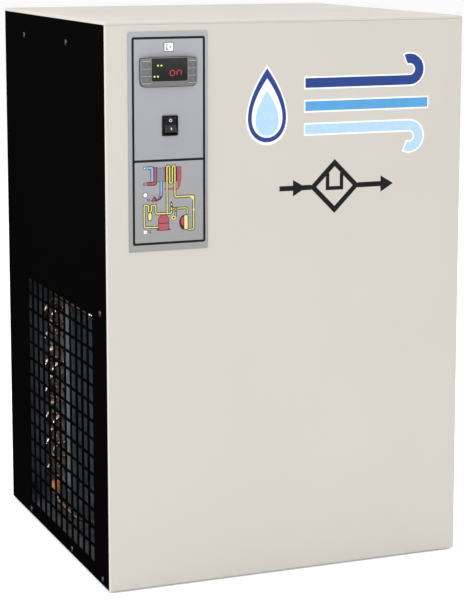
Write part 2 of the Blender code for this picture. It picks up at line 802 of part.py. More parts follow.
def tube_plate_left(looks):
    """The plate with its return bends: upright pairs on the front row, and a stub for each pipe."""
    low = (COIL_X[0], COIL_Y[0], COIL_Z[0])
    high = (COIL_X[0] + TUBE_PLATE, COIL_Y[1], COIL_Z[1])
    made = box("condenser_tube_plate_left", low, high, looks["copper"])
    half = BEND_TUBE / 2
    outer = COIL_X[0] - BEND_REACH
    bends = []
    for first, second in BEND_PAIRS:
        top = leg_height(first) + half
        bottom = leg_height(second) - half
        bends.append(((outer, ROW_Y[0] - half, bottom), (COIL_X[0] + 0.001, ROW_Y[0] + half, top)))
    for row, start in ((1, 1), (2, 0)):
        for first in range(start, LEGS - 1, 2):
            top = leg_height(first) + half
            bottom = leg_height(first + 1) - half
            bends.append(((outer, ROW_Y[row] - half, bottom), (COIL_X[0] + 0.001, ROW_Y[row] + half, top)))
    for row, leg in ((1, 0), (0, LEGS - 1)):
        z = leg_height(leg)
        y = ROW_Y[row]
        bends.append(((outer, y - half, z - half), (COIL_X[0] + 0.001, y + half, z + half)))
    join(made, boxes_tool("return_bends", bends, looks["copper"]))
    return made


def tube_plate_right(looks):
    low = (COIL_X[1] - TUBE_PLATE, COIL_Y[0], COIL_Z[0])
    high = (COIL_X[1], COIL_Y[1], COIL_Z[1])
    made = box("condenser_tube_plate_right", low, high, looks["copper"])
    half = BEND_TUBE / 2
    bends = []
    for row, y in enumerate(ROW_Y):
        for first in range(row % 2, LEGS - 1, 2):
            top = leg_height(first) + half
            bottom = leg_height(first + 1) - half
            bends.append(((COIL_X[1] - 0.001, y - half, bottom), (COIL_X[1] + BEND_REACH, y + half, top)))
    join(made, boxes_tool("right_bends", bends, looks["copper"]))
    return made


def fan_shroud(looks):
    made = box(
        "fan_shroud",
        (COIL_X[0], COIL_Y[1] + GAP, COIL_Z[0]),
        (COIL_X[1], SHROUD_BACK, COIL_Z[1]),
        looks["zinc"],
    )
    inside = (
        (COIL_X[0] + SHEET, COIL_Y[1] - 0.01, COIL_Z[0] + SHEET),
        (COIL_X[1] - SHEET, SHROUD_BACK - SHEET, COIL_Z[1] - SHEET),
    )
    cut(made, boxes_tool("shroud_inside", (inside,), looks["zinc"]))
    centre = (FAN_X, 0, FAN_Z)
    collar = ((centre, COLLAR_RADIUS + SHEET, SHROUD_BACK - 0.001, COLLAR_END, 32),)
    join(made, rods_tool("collar", collar, "Y", looks["zinc"]))
    rods = ((centre, COLLAR_RADIUS, SHROUD_BACK - 0.01, COLLAR_END + 0.01, 32),)
    cut(made, rods_tool("collar_bore", rods, "Y", looks["zinc"]))
    return made


def fan_rotor(looks):
    """A hub with five pitched blades, with its origin on the shaft axis."""
    place = (FAN_X, FAN_Y, FAN_Z)
    half = 0.017
    bore = MOTOR_SHAFT + GAP
    bm = bmesh.new()
    profile = (
        (0, -half),
        (FAN_HUB_RADIUS - 0.004, -half),
        (FAN_HUB_RADIUS, -half + 0.004),
        (FAN_HUB_RADIUS, half),
        (bore, half),
        (bore, -half + 0.008),
        (0, -half + 0.008),
    )
    add_turned(bm, profile, (0, 0, 0), "Y", 20)
    made = mesh_object("fan_rotor", bm, looks["black"], place)
    blades = bmesh.new()
    for k in range(FAN_BLADES):
        add_blade(blades, 2 * math.pi * k / FAN_BLADES)
    join(made, mesh_object("fan_blades", blades, looks["black"], place))
    return smooth(made)


def add_blade(bm, turn):
    """One blade: a pitched, slightly twisted plate from inside the hub to the tip."""
    thick = 0.0022
    stations = ((FAN_HUB_RADIUS - 0.003, 38.0, 0.052), (0.090, 30.0, 0.072), (FAN_RADIUS, 22.0, 0.080))
    rings = []
    for radius, pitch, chord in stations:
        lean = math.radians(pitch)
        ring = []
        for along, across in ((-0.5, -0.5), (0.5, -0.5), (0.5, 0.5), (-0.5, 0.5)):
            u = along * chord
            v = across * thick
            sideways = u * math.cos(lean) - v * math.sin(lean)
            y = u * math.sin(lean) + v * math.cos(lean)
            x = math.sqrt(max(radius * radius - sideways * sideways, 0.0))
            spot = Matrix.Rotation(turn, 3, "Y") @ Vector((x, y * 0.8, sideways))
            ring.append(bm.verts.new(spot))
        rings.append(ring)
    for near, far in zip(rings, rings[1:]):
        for k in range(4):
            m = (k + 1) % 4
            bm.faces.new((near[k], near[m], far[m], far[k]))
    bm.faces.new(rings[0])
    bm.faces.new(rings[-1])


def fan_motor(looks):
    y0, y1 = MOTOR_Y
    profile = (
        (0, FAN_Y - 0.006),
        (MOTOR_SHAFT, FAN_Y - 0.006),
        (MOTOR_SHAFT, y0),
        (MOTOR_RADIUS - 0.005, y0),
        (MOTOR_RADIUS, y0 + 0.005),
        (MOTOR_RADIUS, y1 - 0.005),
        (MOTOR_RADIUS - 0.005, y1),
        (0, y1),
    )
    return turned("fan_motor", profile, (FAN_X, 0, FAN_Z), "Y", 20, looks["black"])


def fan_motor_bracket(looks):
    """A U-shaped strap from the shroud round the back of the motor."""
    start = SHROUD_BACK + GAP
    inner = MOTOR_Y[1] + GAP
    outer = inner + BRACKET_THICK
    half = BRACKET_HALF_X
    outline = (
        (FAN_X - half, start),
        (FAN_X - half + BRACKET_THICK, start),
        (FAN_X - half + BRACKET_THICK, inner),
        (FAN_X + half - BRACKET_THICK, inner),
        (FAN_X + half - BRACKET_THICK, start),
        (FAN_X + half, start),
        (FAN_X + half, outer),
        (FAN_X - half, outer),
    )
    return prism(
        "fan_motor_bracket",
        outline,
        "Z",
        FAN_Z - BRACKET_HEIGHT / 2,
        FAN_Z + BRACKET_HEIGHT / 2,
        looks["zinc"],
    )


# ---------------------------------------------------------------- compressor and pipes

def grommet_places():
    x, y = COMPRESSOR_XY
    inset = 0.014
    reach = (MOUNT_HALF[0] - inset, MOUNT_HALF[1] - inset)
    return [(x + u * reach[0], y + v * reach[1]) for u in (-1, 1) for v in (-1, 1)]


def compressor(looks):
    x, y = COMPRESSOR_XY
    low, high = COMPRESSOR_Z
    r = COMPRESSOR_RADIUS
    profile = (
        (0, low - 0.006),
        (r * 0.60, low - 0.006),
        (r * 0.92, low + 0.008),
        (r, low + 0.026),
        (r, low + 0.098),
        (r + 0.003, low + 0.098),
        (r + 0.003, low + 0.104),
        (r, low + 0.104),
        (r, high - 0.046),
        (r * 0.90, high - 0.020),
        (r * 0.62, high - 0.004),
        (0, high),
    )
    made = turned("compressor", profile, (x, y, 0), "Z", 20, looks["compressor"])
    plate = box(
        "compressor_feet",
        (x - MOUNT_HALF[0], y - MOUNT_HALF[1], MOUNT_PLATE_Z[0]),
        (x + MOUNT_HALF[0], y + MOUNT_HALF[1], MOUNT_PLATE_Z[1]),
        looks["compressor"],
    )
    join(made, plate)
    stubs = [((0, STUB_Y, z), STUB_RADIUS, STUB_TIP_X, x - 0.03, 8) for z in (DISCHARGE_Z, SUCTION_Z)]
    join(made, rods_tool("compressor_stubs", stubs, "X", looks["compressor"]))
    holes = [((u, v, 0), MOUNT_HOLE, 0.03, 0.046, 12) for u, v in grommet_places()]
    cut(made, rods_tool("mount_holes", holes, "Z", looks["compressor"]))
    return made


def grommets(looks):
    z0 = DECK_TOP + GAP
    low, high = MOUNT_PLATE_Z
    profile = (
        (0, z0),
        (GROMMET_FLANGE - 0.001, z0),
        (GROMMET_FLANGE - 0.003, low - GAP),
        (GROMMET_NECK, low - GAP),
        (GROMMET_NECK, high + GAP),
        (GROMMET_NECK + 0.003, high + GAP),
        (GROMMET_NECK + 0.002, high + 0.005),
        (0, high + 0.005),
    )
    for number, (x, y) in enumerate(grommet_places(), 1):
        turned(f"grommet_{number}", profile, (x, y, 0), "Z", 12, looks["rubber"])


def compressor_terminal_cover(looks):
    x, y = COMPRESSOR_XY
    front = y - COMPRESSOR_RADIUS - 0.028
    low = (x - 0.026, front, 0.165)
    high = (x + 0.026, y - 0.070, 0.215)
    made = box("compressor_terminal_cover", low, high, looks["switch"])
    rods = (((x, y, 0), COMPRESSOR_RADIUS + 0.001, 0.1, 0.3, 24),)
    cut(made, rods_tool("cover_back", rods, "Z", looks["switch"]))
    return made


def discharge_line(looks):
    top = leg_height(0) + BEND_TUBE / 2 + GAP
    corners = (
        (STUB_TIP_X - GAP, STUB_Y, DISCHARGE_Z),
        (DISCHARGE_X, STUB_Y, DISCHARGE_Z),
        (DISCHARGE_X, STUB_Y, DISCHARGE_TOP),
        (HEADER_X, STUB_Y, DISCHARGE_TOP),
        (HEADER_X, ROW_Y[1], DISCHARGE_TOP),
        (HEADER_X, ROW_Y[1], top),
    )
    return pipe("discharge_line", corners, PIPE_RADIUS, looks["copper"])


def liquid_line(looks):
    top = leg_height(LEGS - 1) - BEND_TUBE / 2 - GAP
    corners = (
        (HEADER_X, ROW_Y[0], top),
        (HEADER_X, ROW_Y[0], LIQUID_Z),
        (HEADER_X, LIQUID_RISE_Y, LIQUID_Z),
        (HEADER_X, DRIER_Y, DRIER_Z),
        (DRIER_X[0] - GAP, DRIER_Y, DRIER_Z),
    )
    return pipe("liquid_line", corners, PIPE_RADIUS, looks["copper"], 0.012)


def suction_line(looks):
    corners = (
        (SUCTION_X, EXCHANGER_Y[0] - GAP, 0.500),
        (SUCTION_X, STUB_Y, 0.500),
        (SUCTION_X, STUB_Y, SUCTION_Z),
        (STUB_TIP_X - GAP, STUB_Y, SUCTION_Z),
    )
    return pipe("suction_line", corners, PIPE_RADIUS, looks["copper"])


def filter_drier(looks):
    x0, x1 = DRIER_X
    r = DRIER_RADIUS
    profile = (
        (0, x0),
        (0.0065, x0),
        (0.0065, x0 + 0.010),
        (r, x0 + 0.022),
        (r, x1 - 0.018),
        (0.0035, x1 - 0.006),
        (0.0035, x1),
        (0, x1),
    )
    return turned("filter_drier", profile, (0, DRIER_Y, DRIER_Z), "X", 14, looks["copper"])


def capillary_tube(looks):
    """From the drier, up through three turns, and on to the exchanger's front."""
    x, y = CAPILLARY_AXIS
    low, high = CAPILLARY_Z
    r = CAPILLARY_COIL
    start = bent(
        (
            (DRIER_X[1] + GAP, DRIER_Y, DRIER_Z),
            (x, DRIER_Y, DRIER_Z),
            (x, CAPILLARY_RISE_Y, DRIER_Z),
            (x, CAPILLARY_RISE_Y, low),
            (x, y - r, low),
        ),
        0.012,
        2,
    )[:-1]
    turns = []
    steps = 10 * CAPILLARY_TURNS
    for k in range(steps + 1):
        turn = 2 * math.pi * CAPILLARY_TURNS * k / steps - math.pi / 2
        z = low + (high - low) * k / steps
        turns.append((x + r * math.cos(turn), y + r * math.sin(turn), z))
    up = bent(
        (
            turns[-1],
            (x + 0.014, y - r - 0.003, high),
            (x + 0.014, -0.120, high + 0.020),
            (x + 0.014, -0.120, 0.480),
            (x + 0.014, EXCHANGER_Y[0] - GAP, 0.480),
        ),
        0.008,
        2,
    )[1:]
    bm = bmesh.new()
    add_sweep(bm, start + turns + up, CAPILLARY_RADIUS, 5)
    return smooth(mesh_object("capillary_tube", bm, looks["copper"]), 60.0)


def hot_gas_bypass_valve(looks):
    """A brass regulator between the discharge line below it and the exchanger behind it."""
    bottom = DISCHARGE_TOP + PIPE_RADIUS + GAP
    z = BYPASS_Z
    profile = (
        (0, bottom),
        (0.0050, bottom),
        (0.0050, z - 0.024),
        (0.0120, z - 0.024),
        (0.0120, z + 0.012),
        (0.0190, z + 0.018),
        (0.0190, z + 0.034),
        (0.0090, z + 0.042),
        (0.0090, z + 0.062),
        (0, z + 0.062),
    )
    made = turned("hot_gas_bypass_valve", profile, (BYPASS_X, STUB_Y, 0), "Z", 14, looks["brass"])
    rods = (((BYPASS_X, 0, z - 0.006), 0.0055, STUB_Y, EXCHANGER_Y[0] - GAP, 8),)
    join(made, rods_tool("bypass_outlet", rods, "Y", looks["brass"]))
    return made


# ---------------------------------------------------------------- air side and drain

def heat_exchanger(looks):
    low = (EXCHANGER_X[0], EXCHANGER_Y[0], EXCHANGER_Z[0])
    high = (EXCHANGER_X[1], EXCHANGER_Y[1], EXCHANGER_Z[1])
    bm = bmesh.new()
    add_box(bm, low, high)
    upright = [e for e in bm.edges if abs(e.verts[0].co.z - e.verts[1].co.z) > 0.1]
    bmesh.ops.bevel(bm, geom=upright, offset=0.018, segments=3, profile=0.5, affect="EDGES")
    return mesh_object("heat_exchanger", bm, looks["foam"])


def air_pipe(name, x, looks):
    """A pipe from the exchanger to a threaded socket that stands out of the rear panel."""
    end = REAR_Y + PORTS_PROUD
    profile = (
        (0, EXCHANGER_Y[1] + GAP),
        (PORT_PIPE, EXCHANGER_Y[1] + GAP),
        (PORT_PIPE, PORT_SOCKET_Y0 - 0.006),
        (PORT_SOCKET, PORT_SOCKET_Y0),
        (PORT_SOCKET, end - 0.0015),
        (PORT_SOCKET - 0.0015, end),
        (PORT_BORE, end),
        (PORT_BORE, PORT_BORE_END),
        (0, PORT_BORE_END),
    )
    return turned(name, profile, (x, 0, PORT_Z), "Y", 24, looks["brass"])


def drain_isolation_valve(looks):
    x0, x1 = VALVE_X
    r = VALVE_RADIUS
    profile = (
        (0, x0),
        (r, x0),
        (r, x0 + 0.012),
        (r - 0.0025, x0 + 0.014),
        (r - 0.0025, x1 - 0.014),
        (r, x1 - 0.012),
        (r, x1 - GAP),
        (0, x1 - GAP),
    )
    made = turned("drain_isolation_valve", profile, (0, DRAIN_Y, DRAIN_Z), "X", 12, looks["brass"])
    rods = (((STEM_X, DRAIN_Y, 0), 0.0045, DRAIN_Z, STEM_TOP, 10),)
    join(made, rods_tool("valve_stem", rods, "Z", looks["brass"]))
    return made


def drain_valve_lever(looks):
    """A flat handle with its origin on the valve stem; along the pipe, the valve is open."""
    half = LEVER_WIDTH / 2
    outline = arc((0, 0), half, 90, 270, 6) + arc((LEVER_LENGTH - half, 0), half, -90, 90, 6)
    bm = bmesh.new()
    add_prism(bm, outline, "Z", GAP, GAP + LEVER_THICK)
    return mesh_object("drain_valve_lever", bm, looks["red"], (STEM_X, DRAIN_Y, STEM_TOP))


def condensate_drain(looks):
    """The timed solenoid drain: its valve block, and the coil below it."""
    x0, x1 = SOLENOID_X
    half = 0.014
    low = (x0, DRAIN_Y - half, DRAIN_Z - half)
    high = (x1, DRAIN_Y + half, DRAIN_Z + half)
    made = box("condensate_drain", low, high, looks["brass"])
    coil = box(
        "drain_coil",
        (x0 + 0.004, DRAIN_Y - 0.018, SHELF_Z + SHEET + 0.004),
        (x1 - 0.004, DRAIN_Y + 0.018, DRAIN_Z - 0.010),
        looks["brass"],
    )
    join(made, coil)
    return made


def drain_tube(looks):
    corners = (
        (SOLENOID_X[1] + GAP, DRAIN_Y, DRAIN_Z),
        (DRAIN_TUBE_X, DRAIN_Y, DRAIN_Z),
        (DRAIN_TUBE_X, FITTING_Y0 - GAP, DRAIN_Z),
    )
    return pipe("drain_tube", corners, DRAIN_TUBE_RADIUS, looks["nylon"], 0.016)


def drain_outlet_fitting(looks):
    end = REAR_Y + PORTS_PROUD
    profile = (
        (0, FITTING_Y0),
        (0.0110, FITTING_Y0),
        (0.0110, REAR_Y - SHEET - GAP),
        (FITTING_NECK, REAR_Y - SHEET - GAP),
        (FITTING_NECK, REAR_Y + GAP),
        (0.0115, REAR_Y + GAP),
        (0.0115, REAR_Y + 0.008),
        (FITTING_NECK, REAR_Y + 0.009),
        (FITTING_NECK, end),
        (FITTING_BORE, end),
        (FITTING_BORE, FITTING_Y0 + 0.006),
        (0, FITTING_Y0 + 0.006),
    )
    return turned("drain_outlet_fitting", profile, (DRAIN_TUBE_X, 0, DRAIN_Z), "Y", 12, looks["brass"])


def cable_gland(looks):
    """An empty gland: the supply lead isn't part of the assembly."""
    profile = (
        (GLAND_BORE, REAR_Y - 0.010),
        (0.0110, REAR_Y - 0.010),
        (0.0110, REAR_Y - SHEET - GAP),
        (GLAND_NECK, REAR_Y - SHEET - GAP),
        (GLAND_NECK, REAR_Y + GAP),
        (0.0120, REAR_Y + GAP),
        (0.0120, REAR_Y + 0.010),
        (0.0105, REAR_Y + 0.011),
        (0.0105, REAR_Y + 0.018),
        (0.0080, REAR_Y + 0.024),
        (GLAND_BORE, REAR_Y + 0.024),
    )
    return turned("cable_gland", profile, (GLAND[0], 0, GLAND[1]), "Y", 12, looks["switch"], closed=True)


# ---------------------------------------------------------------- assembly

def build():
    for old in list(bpy.data.objects):
        bpy.data.objects.remove(old)
    looks = make_materials()
    screw_holes = screw_hole_tool(looks)
    openings = control_opening_tool(looks)
    front_panel(looks, openings)
    rear_panel(looks)
    left_side_panel(looks, screw_holes)
    right_side_panel(looks)
    top_cover(looks)
    base_pan(looks, screw_holes)
    feet(looks)
    side_frame("side_frame_left", -1, looks, screw_holes)
    side_frame("side_frame_right", 1, looks, None)
    upper_shelf(looks)
    panel_screws(looks)
    control_plate(looks, openings)
    controller_housing(looks)
    display_window(looks)
    controller_keys(looks)
    switch_housing(looks)
    rocker_actuator(looks)
    electrical_box(looks)
    run_capacitor(looks)
    fin_pack(looks)
    tube_plate_left(looks)
    tube_plate_right(looks)
    fan_shroud(looks)
    fan_rotor(looks)
    fan_motor(looks)
    fan_motor_bracket(looks)
    compressor(looks)
    grommets(looks)
    compressor_terminal_cover(looks)
    discharge_line(looks)
    liquid_line(looks)
    suction_line(looks)
    filter_drier(looks)
    capillary_tube(looks)
    hot_gas_bypass_valve(looks)
    heat_exchanger(looks)
    air_pipe("air_inlet_pipe", PORT_X[0], looks)
    air_pipe("air_outlet_pipe", PORT_X[1], looks)
    drain_isolation_valve(looks)
    drain_valve_lever(looks)
    condensate_drain(looks)
    drain_tube(looks)
    drain_outlet_fitting(looks)
    cable_gland(looks)


build()
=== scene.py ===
"""Looks for the refrigerated air dryer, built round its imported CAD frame. Metres, +Z up, front towards -Y."""
from math import copysign, cos, exp, pi, radians, sin, sqrt, tan

import bmesh
import bpy
from mathutils import Matrix, Vector


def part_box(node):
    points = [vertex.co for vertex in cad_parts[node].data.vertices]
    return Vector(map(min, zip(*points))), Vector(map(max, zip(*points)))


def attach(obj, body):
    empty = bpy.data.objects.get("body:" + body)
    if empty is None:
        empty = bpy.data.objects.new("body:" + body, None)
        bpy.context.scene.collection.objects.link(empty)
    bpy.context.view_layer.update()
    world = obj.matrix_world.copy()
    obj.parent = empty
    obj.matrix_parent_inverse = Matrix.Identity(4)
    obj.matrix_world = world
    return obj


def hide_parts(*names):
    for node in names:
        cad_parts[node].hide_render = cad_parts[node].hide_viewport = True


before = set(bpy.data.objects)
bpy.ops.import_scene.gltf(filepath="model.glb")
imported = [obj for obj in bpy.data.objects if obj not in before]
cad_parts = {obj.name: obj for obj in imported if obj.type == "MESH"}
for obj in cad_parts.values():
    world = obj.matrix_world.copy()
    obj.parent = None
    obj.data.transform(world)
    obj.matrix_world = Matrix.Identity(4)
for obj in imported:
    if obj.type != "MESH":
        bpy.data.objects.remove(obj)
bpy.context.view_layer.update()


def middle(node):
    low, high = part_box(node)
    return (low + high) / 2


MM = 0.001
GAP = 0.0003  # clearance between neighbouring pieces
SHEET = 0.0015
FOLD = 0.003
SHARP = 32  # an edge sharper than this many degrees isn't smoothed
REACH = 0.01  # how far a cutter goes beyond the sheet that it cuts

FRONT_LOW, FRONT_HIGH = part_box("front_panel")
REAR_LOW, REAR_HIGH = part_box("rear_panel")
COVER_LOW, COVER_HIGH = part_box("top_cover")
PLATE_LOW, PLATE_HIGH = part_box("control_plate")
SIDE_X = FRONT_HIGH.x
FRONT_Y = FRONT_LOW.y
REAR_Y = REAR_HIGH.y
PLATE_Y = PLATE_LOW.y
HOUSING_LOW, HOUSING_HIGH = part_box("controller_housing")
HOUSING_X, _, HOUSING_Z = middle("controller_housing")
HALF_WIDE = (HOUSING_HIGH.x - HOUSING_LOW.x) / 2
HALF_TALL = (HOUSING_HIGH.z - HOUSING_LOW.z) / 2
CASE_Z, CASE_WIDE, CASE_TALL = 0.803, 0.071, 0.029
WINDOW_LOW, WINDOW_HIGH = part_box("display_window")
SWITCH_LOW, SWITCH_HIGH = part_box("switch_housing")
SWITCH_X, _, SWITCH_Z = middle("switch_housing")


# ---------------------------------------------------------------- materials

class Look:
    """A procedural material on one principled shader."""

    def __init__(self, name, roughness, metallic=0, specular=0.5):
        self.material = bpy.data.materials.new(name)
        self.material.use_nodes = True
        self.tree = self.material.node_tree
        self.shader = self.tree.nodes["Principled BSDF"].inputs
        self.set({"Roughness": roughness, "Metallic": metallic, "Specular IOR Level": specular})
        self.place = self.tree.nodes.new("ShaderNodeTexCoord").outputs["Object"]

    def set(self, sockets):
        for socket, value in sockets.items():
            self.shader[socket].default_value = value

    def node(self, kind, source, target, values=None):
        """Adds a node, feeds source into its target socket, and sets its other values."""
        made = self.tree.nodes.new(kind)
        for key, value in (values or {}).items():
            made.inputs[key].default_value = value
        self.tree.links.new(source, made.inputs[target])
        return made

    def noise(self, scale, detail=2, rough=0.5, place=None):
        values = {"Scale": scale, "Detail": detail, "Roughness": rough}
        return self.node("ShaderNodeTexNoise", place or self.place, "Vector", values).outputs["Fac"]

    def cells(self, scale, output):
        return self.node("ShaderNodeTexVoronoi", self.place, "Vector", {"Scale": scale}).outputs[output]

    def spread(self, value, low, high, from_low=0.3, from_high=0.7):
        """Maps a texture's middle range to another range."""
        ends = {"From Min": from_low, "From Max": from_high, "To Min": low, "To Max": high}
        return self.node("ShaderNodeMapRange", value, "Value", ends).outputs["Result"]

    def paint(self, value, first, second, low=0.3, high=0.7):
        ramp = self.node("ShaderNodeValToRGB", value, "Fac")
        for stop, place, colour in zip(ramp.color_ramp.elements, (low, high), (first, second)):
            stop.position = place
            stop.color = (*colour, 1)
        self.tree.links.new(ramp.outputs["Color"], self.shader["Base Color"])

    def rough(self, value, *ends):
        self.tree.links.new(self.spread(value, *ends), self.shader["Roughness"])

    def bump(self, height, strength, distance):
        made = self.node("ShaderNodeBump", height, "Height", {"Strength": strength, "Distance": distance})
        last = self.shader["Normal"]
        if last.is_linked:
            self.tree.links.new(last.links[0].from_socket, made.inputs["Normal"])
        self.tree.links.new(made.outputs["Normal"], last)


def surface(name, base, tones, paint, drift=(), bumps=(), ends=(0.3, 0.7), more=None):
    """A material of noises. Base is roughness, metallic and specular; paint is the colour noise's settings; drift is
    the roughness noise's scale, detail, low and high; a bump is scale, detail, strength and distance."""
    look = Look(name, *base)
    look.set(more or {})
    look.paint(look.noise(*paint), *tones, *ends)
    if drift:
        look.rough(look.noise(*drift[:2]), *drift[2:])
    for scale, detail, strength, distance in bumps:
        look.bump(look.noise(scale, detail), strength, distance)
    return look.material


def shades(colour, *factors):
    return [tuple(min(c * factor, 1) for c in colour) for factor in factors]


def glowing(colour, strength):
    return {"Emission Color": (*colour, 1), "Emission Strength": strength}


def coated(name, colour, rough, specular, vary=0.015, grain=700, depth=0.0001, metallic=0):
    """Powder coat or moulded plastic: a fine orange peel, a faint drift of tone, and a drift of gloss."""
    return surface(name, (rough, metallic, specular), shades(colour, 1 - vary, 1 + vary), (2.2, 3),
                   (9, 4, rough - 0.04, rough + 0.05),
                   [(grain, 2, 0.25, depth), (grain * 0.15, 1, 0.1, depth * 3)])


def ink(name, colour):
    return surface(name, (0.42, 0, 0.35), shades(colour, 0.95, 1.04), (160, 3),
                   bumps=[(2600, 1, 0.15, 0.00003)])


def lamp(name, colour, strength, dark):
    return surface(name, (0.25, 0, 0.5), shades(dark, 0.8, 1), (900, 1), more=glowing(colour, strength))


def zinc():
    look = Look("galvanised_sheet", 0.52, 0.85)
    spangle = look.node("ShaderNodeRGBToBW", look.cells(90, "Color"), "Color").outputs["Val"]
    look.paint(spangle, (0.19, 0.2, 0.215), (0.3, 0.31, 0.325), 0.1, 0.9)
    look.rough(spangle, 0.44, 0.62, 0.1, 0.9)
    look.bump(look.noise(240, 3), 0.12, 0.0001)
    return look.material


def turned_metal(name, dark, light, rough, axis_scale):
    """Machined brass or aluminium: fine rings round the part, with handling marks."""
    look = Look(name, rough, 1)
    place = look.node("ShaderNodeMapping", look.place, "Vector", {"Scale": axis_scale}).outputs["Vector"]
    rings = look.noise(1, 2, 0.5, place)
    look.paint(look.noise(45, 4), dark, light)
    look.rough(rings, rough - 0.07, rough + 0.1)
    look.bump(rings, 0.2, 0.00006)
    return look.material


def foam():
    look = Look("bead_foam", 0.88, 0, 0.25)
    beads = look.cells(330, "Distance")
    look.paint(beads, (0.03, 0.03, 0.032), (0.012, 0.012, 0.013), 0.2, 0.8)
    look.bump(beads, 0.5, 0.0006)
    look.bump(look.noise(1500, 2), 0.2, 0.0002)
    return look.material


def overlay():
    """The printed polycarbonate overlay: a velvet texture, slightly lighter towards its top."""
    look = Look("overlay_print", 0.46, 0, 0.3)
    split = look.node("ShaderNodeSeparateXYZ", look.place, "Vector")
    height = look.spread(split.outputs["Z"], 0, 1, PLATE_LOW.z, PLATE_HIGH.z)
    look.paint(height, (0.3, 0.301, 0.303), (0.372, 0.376, 0.405), 0.1, 0.9)
    look.rough(look.noise(20, 3), 0.42, 0.52)
    look.bump(look.noise(1800, 2), 0.3, 0.00005)
    return look.material


INKS = {
    "black": (0.012, 0.012, 0.014),
    "white": (0.88, 0.89, 0.9),
    "grey": (0.2, 0.2, 0.22),
    "pale": (0.5, 0.51, 0.53),
    "yellow": (0.74, 0.7, 0.22),
    "gold": (0.33, 0.28, 0.055),
    "olive": (0.05, 0.05, 0.012),
    "red": (0.41, 0.085, 0.115),
    "crimson": (0.08, 0.018, 0.03),
    "sky": (0.23, 0.43, 0.66),
    "violet": (0.3, 0.33, 0.62),
    "slate": (0.05, 0.072, 0.105),
    "steel_blue": (0.205, 0.235, 0.3),
    "navy": (0.018, 0.052, 0.24),
    "blue": (0.085, 0.33, 0.64),
    "ice": (0.42, 0.62, 0.84),
}
LOOKS = {
    "beige": coated("beige_powder_coat", (0.56, 0.531, 0.489), 0.46, 0.3),
    # Inner faces: a darker slate grey, partly a thin primer tone and partly painted shade for the cabinet's interior.
    "inside_primer_shade": coated("inner_primer_and_shade", (0.3, 0.34, 0.375), 0.6, 0.2, 0.06),
    "black": coated("black_powder_coat", (0.001, 0.001, 0.0012), 0.5, 0.02, 0.12),
    "fan": coated("fan_plastic", (0.012, 0.012, 0.013), 0.45, 0.3, 0.1),
    "screw": coated("black_oxide_steel", (0.13, 0.13, 0.138), 0.3, 0.5, 0.15, metallic=0.8),
    "grey": coated("grey_abs", (0.17, 0.173, 0.168), 0.44, 0.4, 0.03, 1500, 0.00006),
    "key": coated("grey_key", (0.145, 0.148, 0.148), 0.5, 0.35, 0.04, 1800, 0.00006),
    "switch": coated("black_nylon", (0.01, 0.01, 0.011), 0.36, 0.45, 0.1, 1600, 0.00005),
    "compressor": coated("black_enamel", (0.011, 0.011, 0.012), 0.24, 0.5, 0.12, 240, 0.0002),
    "red": coated("red_vinyl", (0.56, 0.03, 0.022), 0.4, 0.5, 0.06, 900),
    # The end plates' folds: a lighter, less metallic copy of the galvanised sheet, which paints in the highlight that
    # the fold catches.
    "flange_highlight": coated("zinc_painted_highlight", (0.44, 0.47, 0.5), 0.4, 0.5, 0.1, metallic=0.15),
    "bronze": coated("cast_bronze", (0.8, 0.42, 0.17), 0.36, 0.5, 0.12, metallic=0.5),
    "overlay": overlay(),
    "zinc": zinc(),
    "foam": foam(),
    "brass": turned_metal("machined_brass", (0.6, 0.42, 0.17), (0.8, 0.62, 0.3), 0.27, (30, 2400, 2400)),
    "aluminium": turned_metal("drawn_aluminium", (0.6, 0.61, 0.63), (0.78, 0.79, 0.8), 0.33, (900, 900, 60)),
    "steel": turned_metal("plated_steel", (0.5, 0.5, 0.51), (0.7, 0.7, 0.7), 0.3, (900, 900, 900)),
    "copper": surface("copper_tube", (0.18, 1), ((0.42, 0.265, 0.21), (0.95, 0.78, 0.7)), (38, 5, 0.62),
                      (70, 4, 0.13, 0.23), [(420, 3, 0.12, 0.00012)], (0.34, 0.66)),
    "fins": surface("fin_aluminium", (0.5, 0.25), ((0.38, 0.44, 0.5), (0.52, 0.59, 0.65)), (26, 4),
                    (120, 3, 0.4, 0.6), [(900, 2, 0.15, 0.00005)]),
    "rubber": surface("rubber", (0.78, 0, 0.35), ((0.014, 0.014, 0.014), (0.03, 0.029, 0.028)), (60, 4),
                      (30, 3, 0.68, 0.86), [(900, 3, 0.3, 0.00015)]),
    "window": surface("smoked_window", (0.22, 0, 0.25), ((0.02, 0.021, 0.02), (0.027, 0.028, 0.027)),
                      (14, 2), (55, 4, 0.18, 0.28), [(30, 1, 0.03, 0.0002)]),
    "nylon": surface("nylon_tube", (0.35, 0, 0.5), ((0.7, 0.72, 0.72), (0.78, 0.8, 0.8)), (50, 2),
                     bumps=[(500, 2, 0.1, 0.0001)],
                     more={"Subsurface Weight": 0.25, "Subsurface Radius": (0.004, 0.004, 0.004)}),
    "floor": surface("floor", (0.65, 0, 0.2), ((0.93, 0.93, 0.93), (0.945, 0.945, 0.945)), (0.8, 2),
                     bumps=[(40, 2, 0.02, 0.0005)], more=glowing((1, 1, 1), 0.3)),
    "lit_green": lamp("lit_green", (0.66, 0.78, 0.3), 0.8, (0.3, 0.36, 0.08)),
    "green_glow": lamp("green_glow", (0.28, 0.36, 0.02), 0.1, (0.02, 0.026, 0.006)),
    "lit_red": lamp("lit_red", (0.66, 0.065, 0.075), 0.66, (0.3, 0.03, 0.04)),
    # Unlit segments: dark red with a faint painted glow, though they are switched off.
    "unlit_red_faint_glow": lamp("unlit_red_faint_glow", (0.3, 0.02, 0.02), 0.02, (0.034, 0.021, 0.02)),
}
LOOKS.update({f"{name}_ink": ink(f"{name}_ink", colour) for name, colour in INKS.items()})


# ---------------------------------------------------------------- shapes

def face(bm, corners, tone):
    made = bm.faces.new(corners)
    made.material_index = tone
    return made


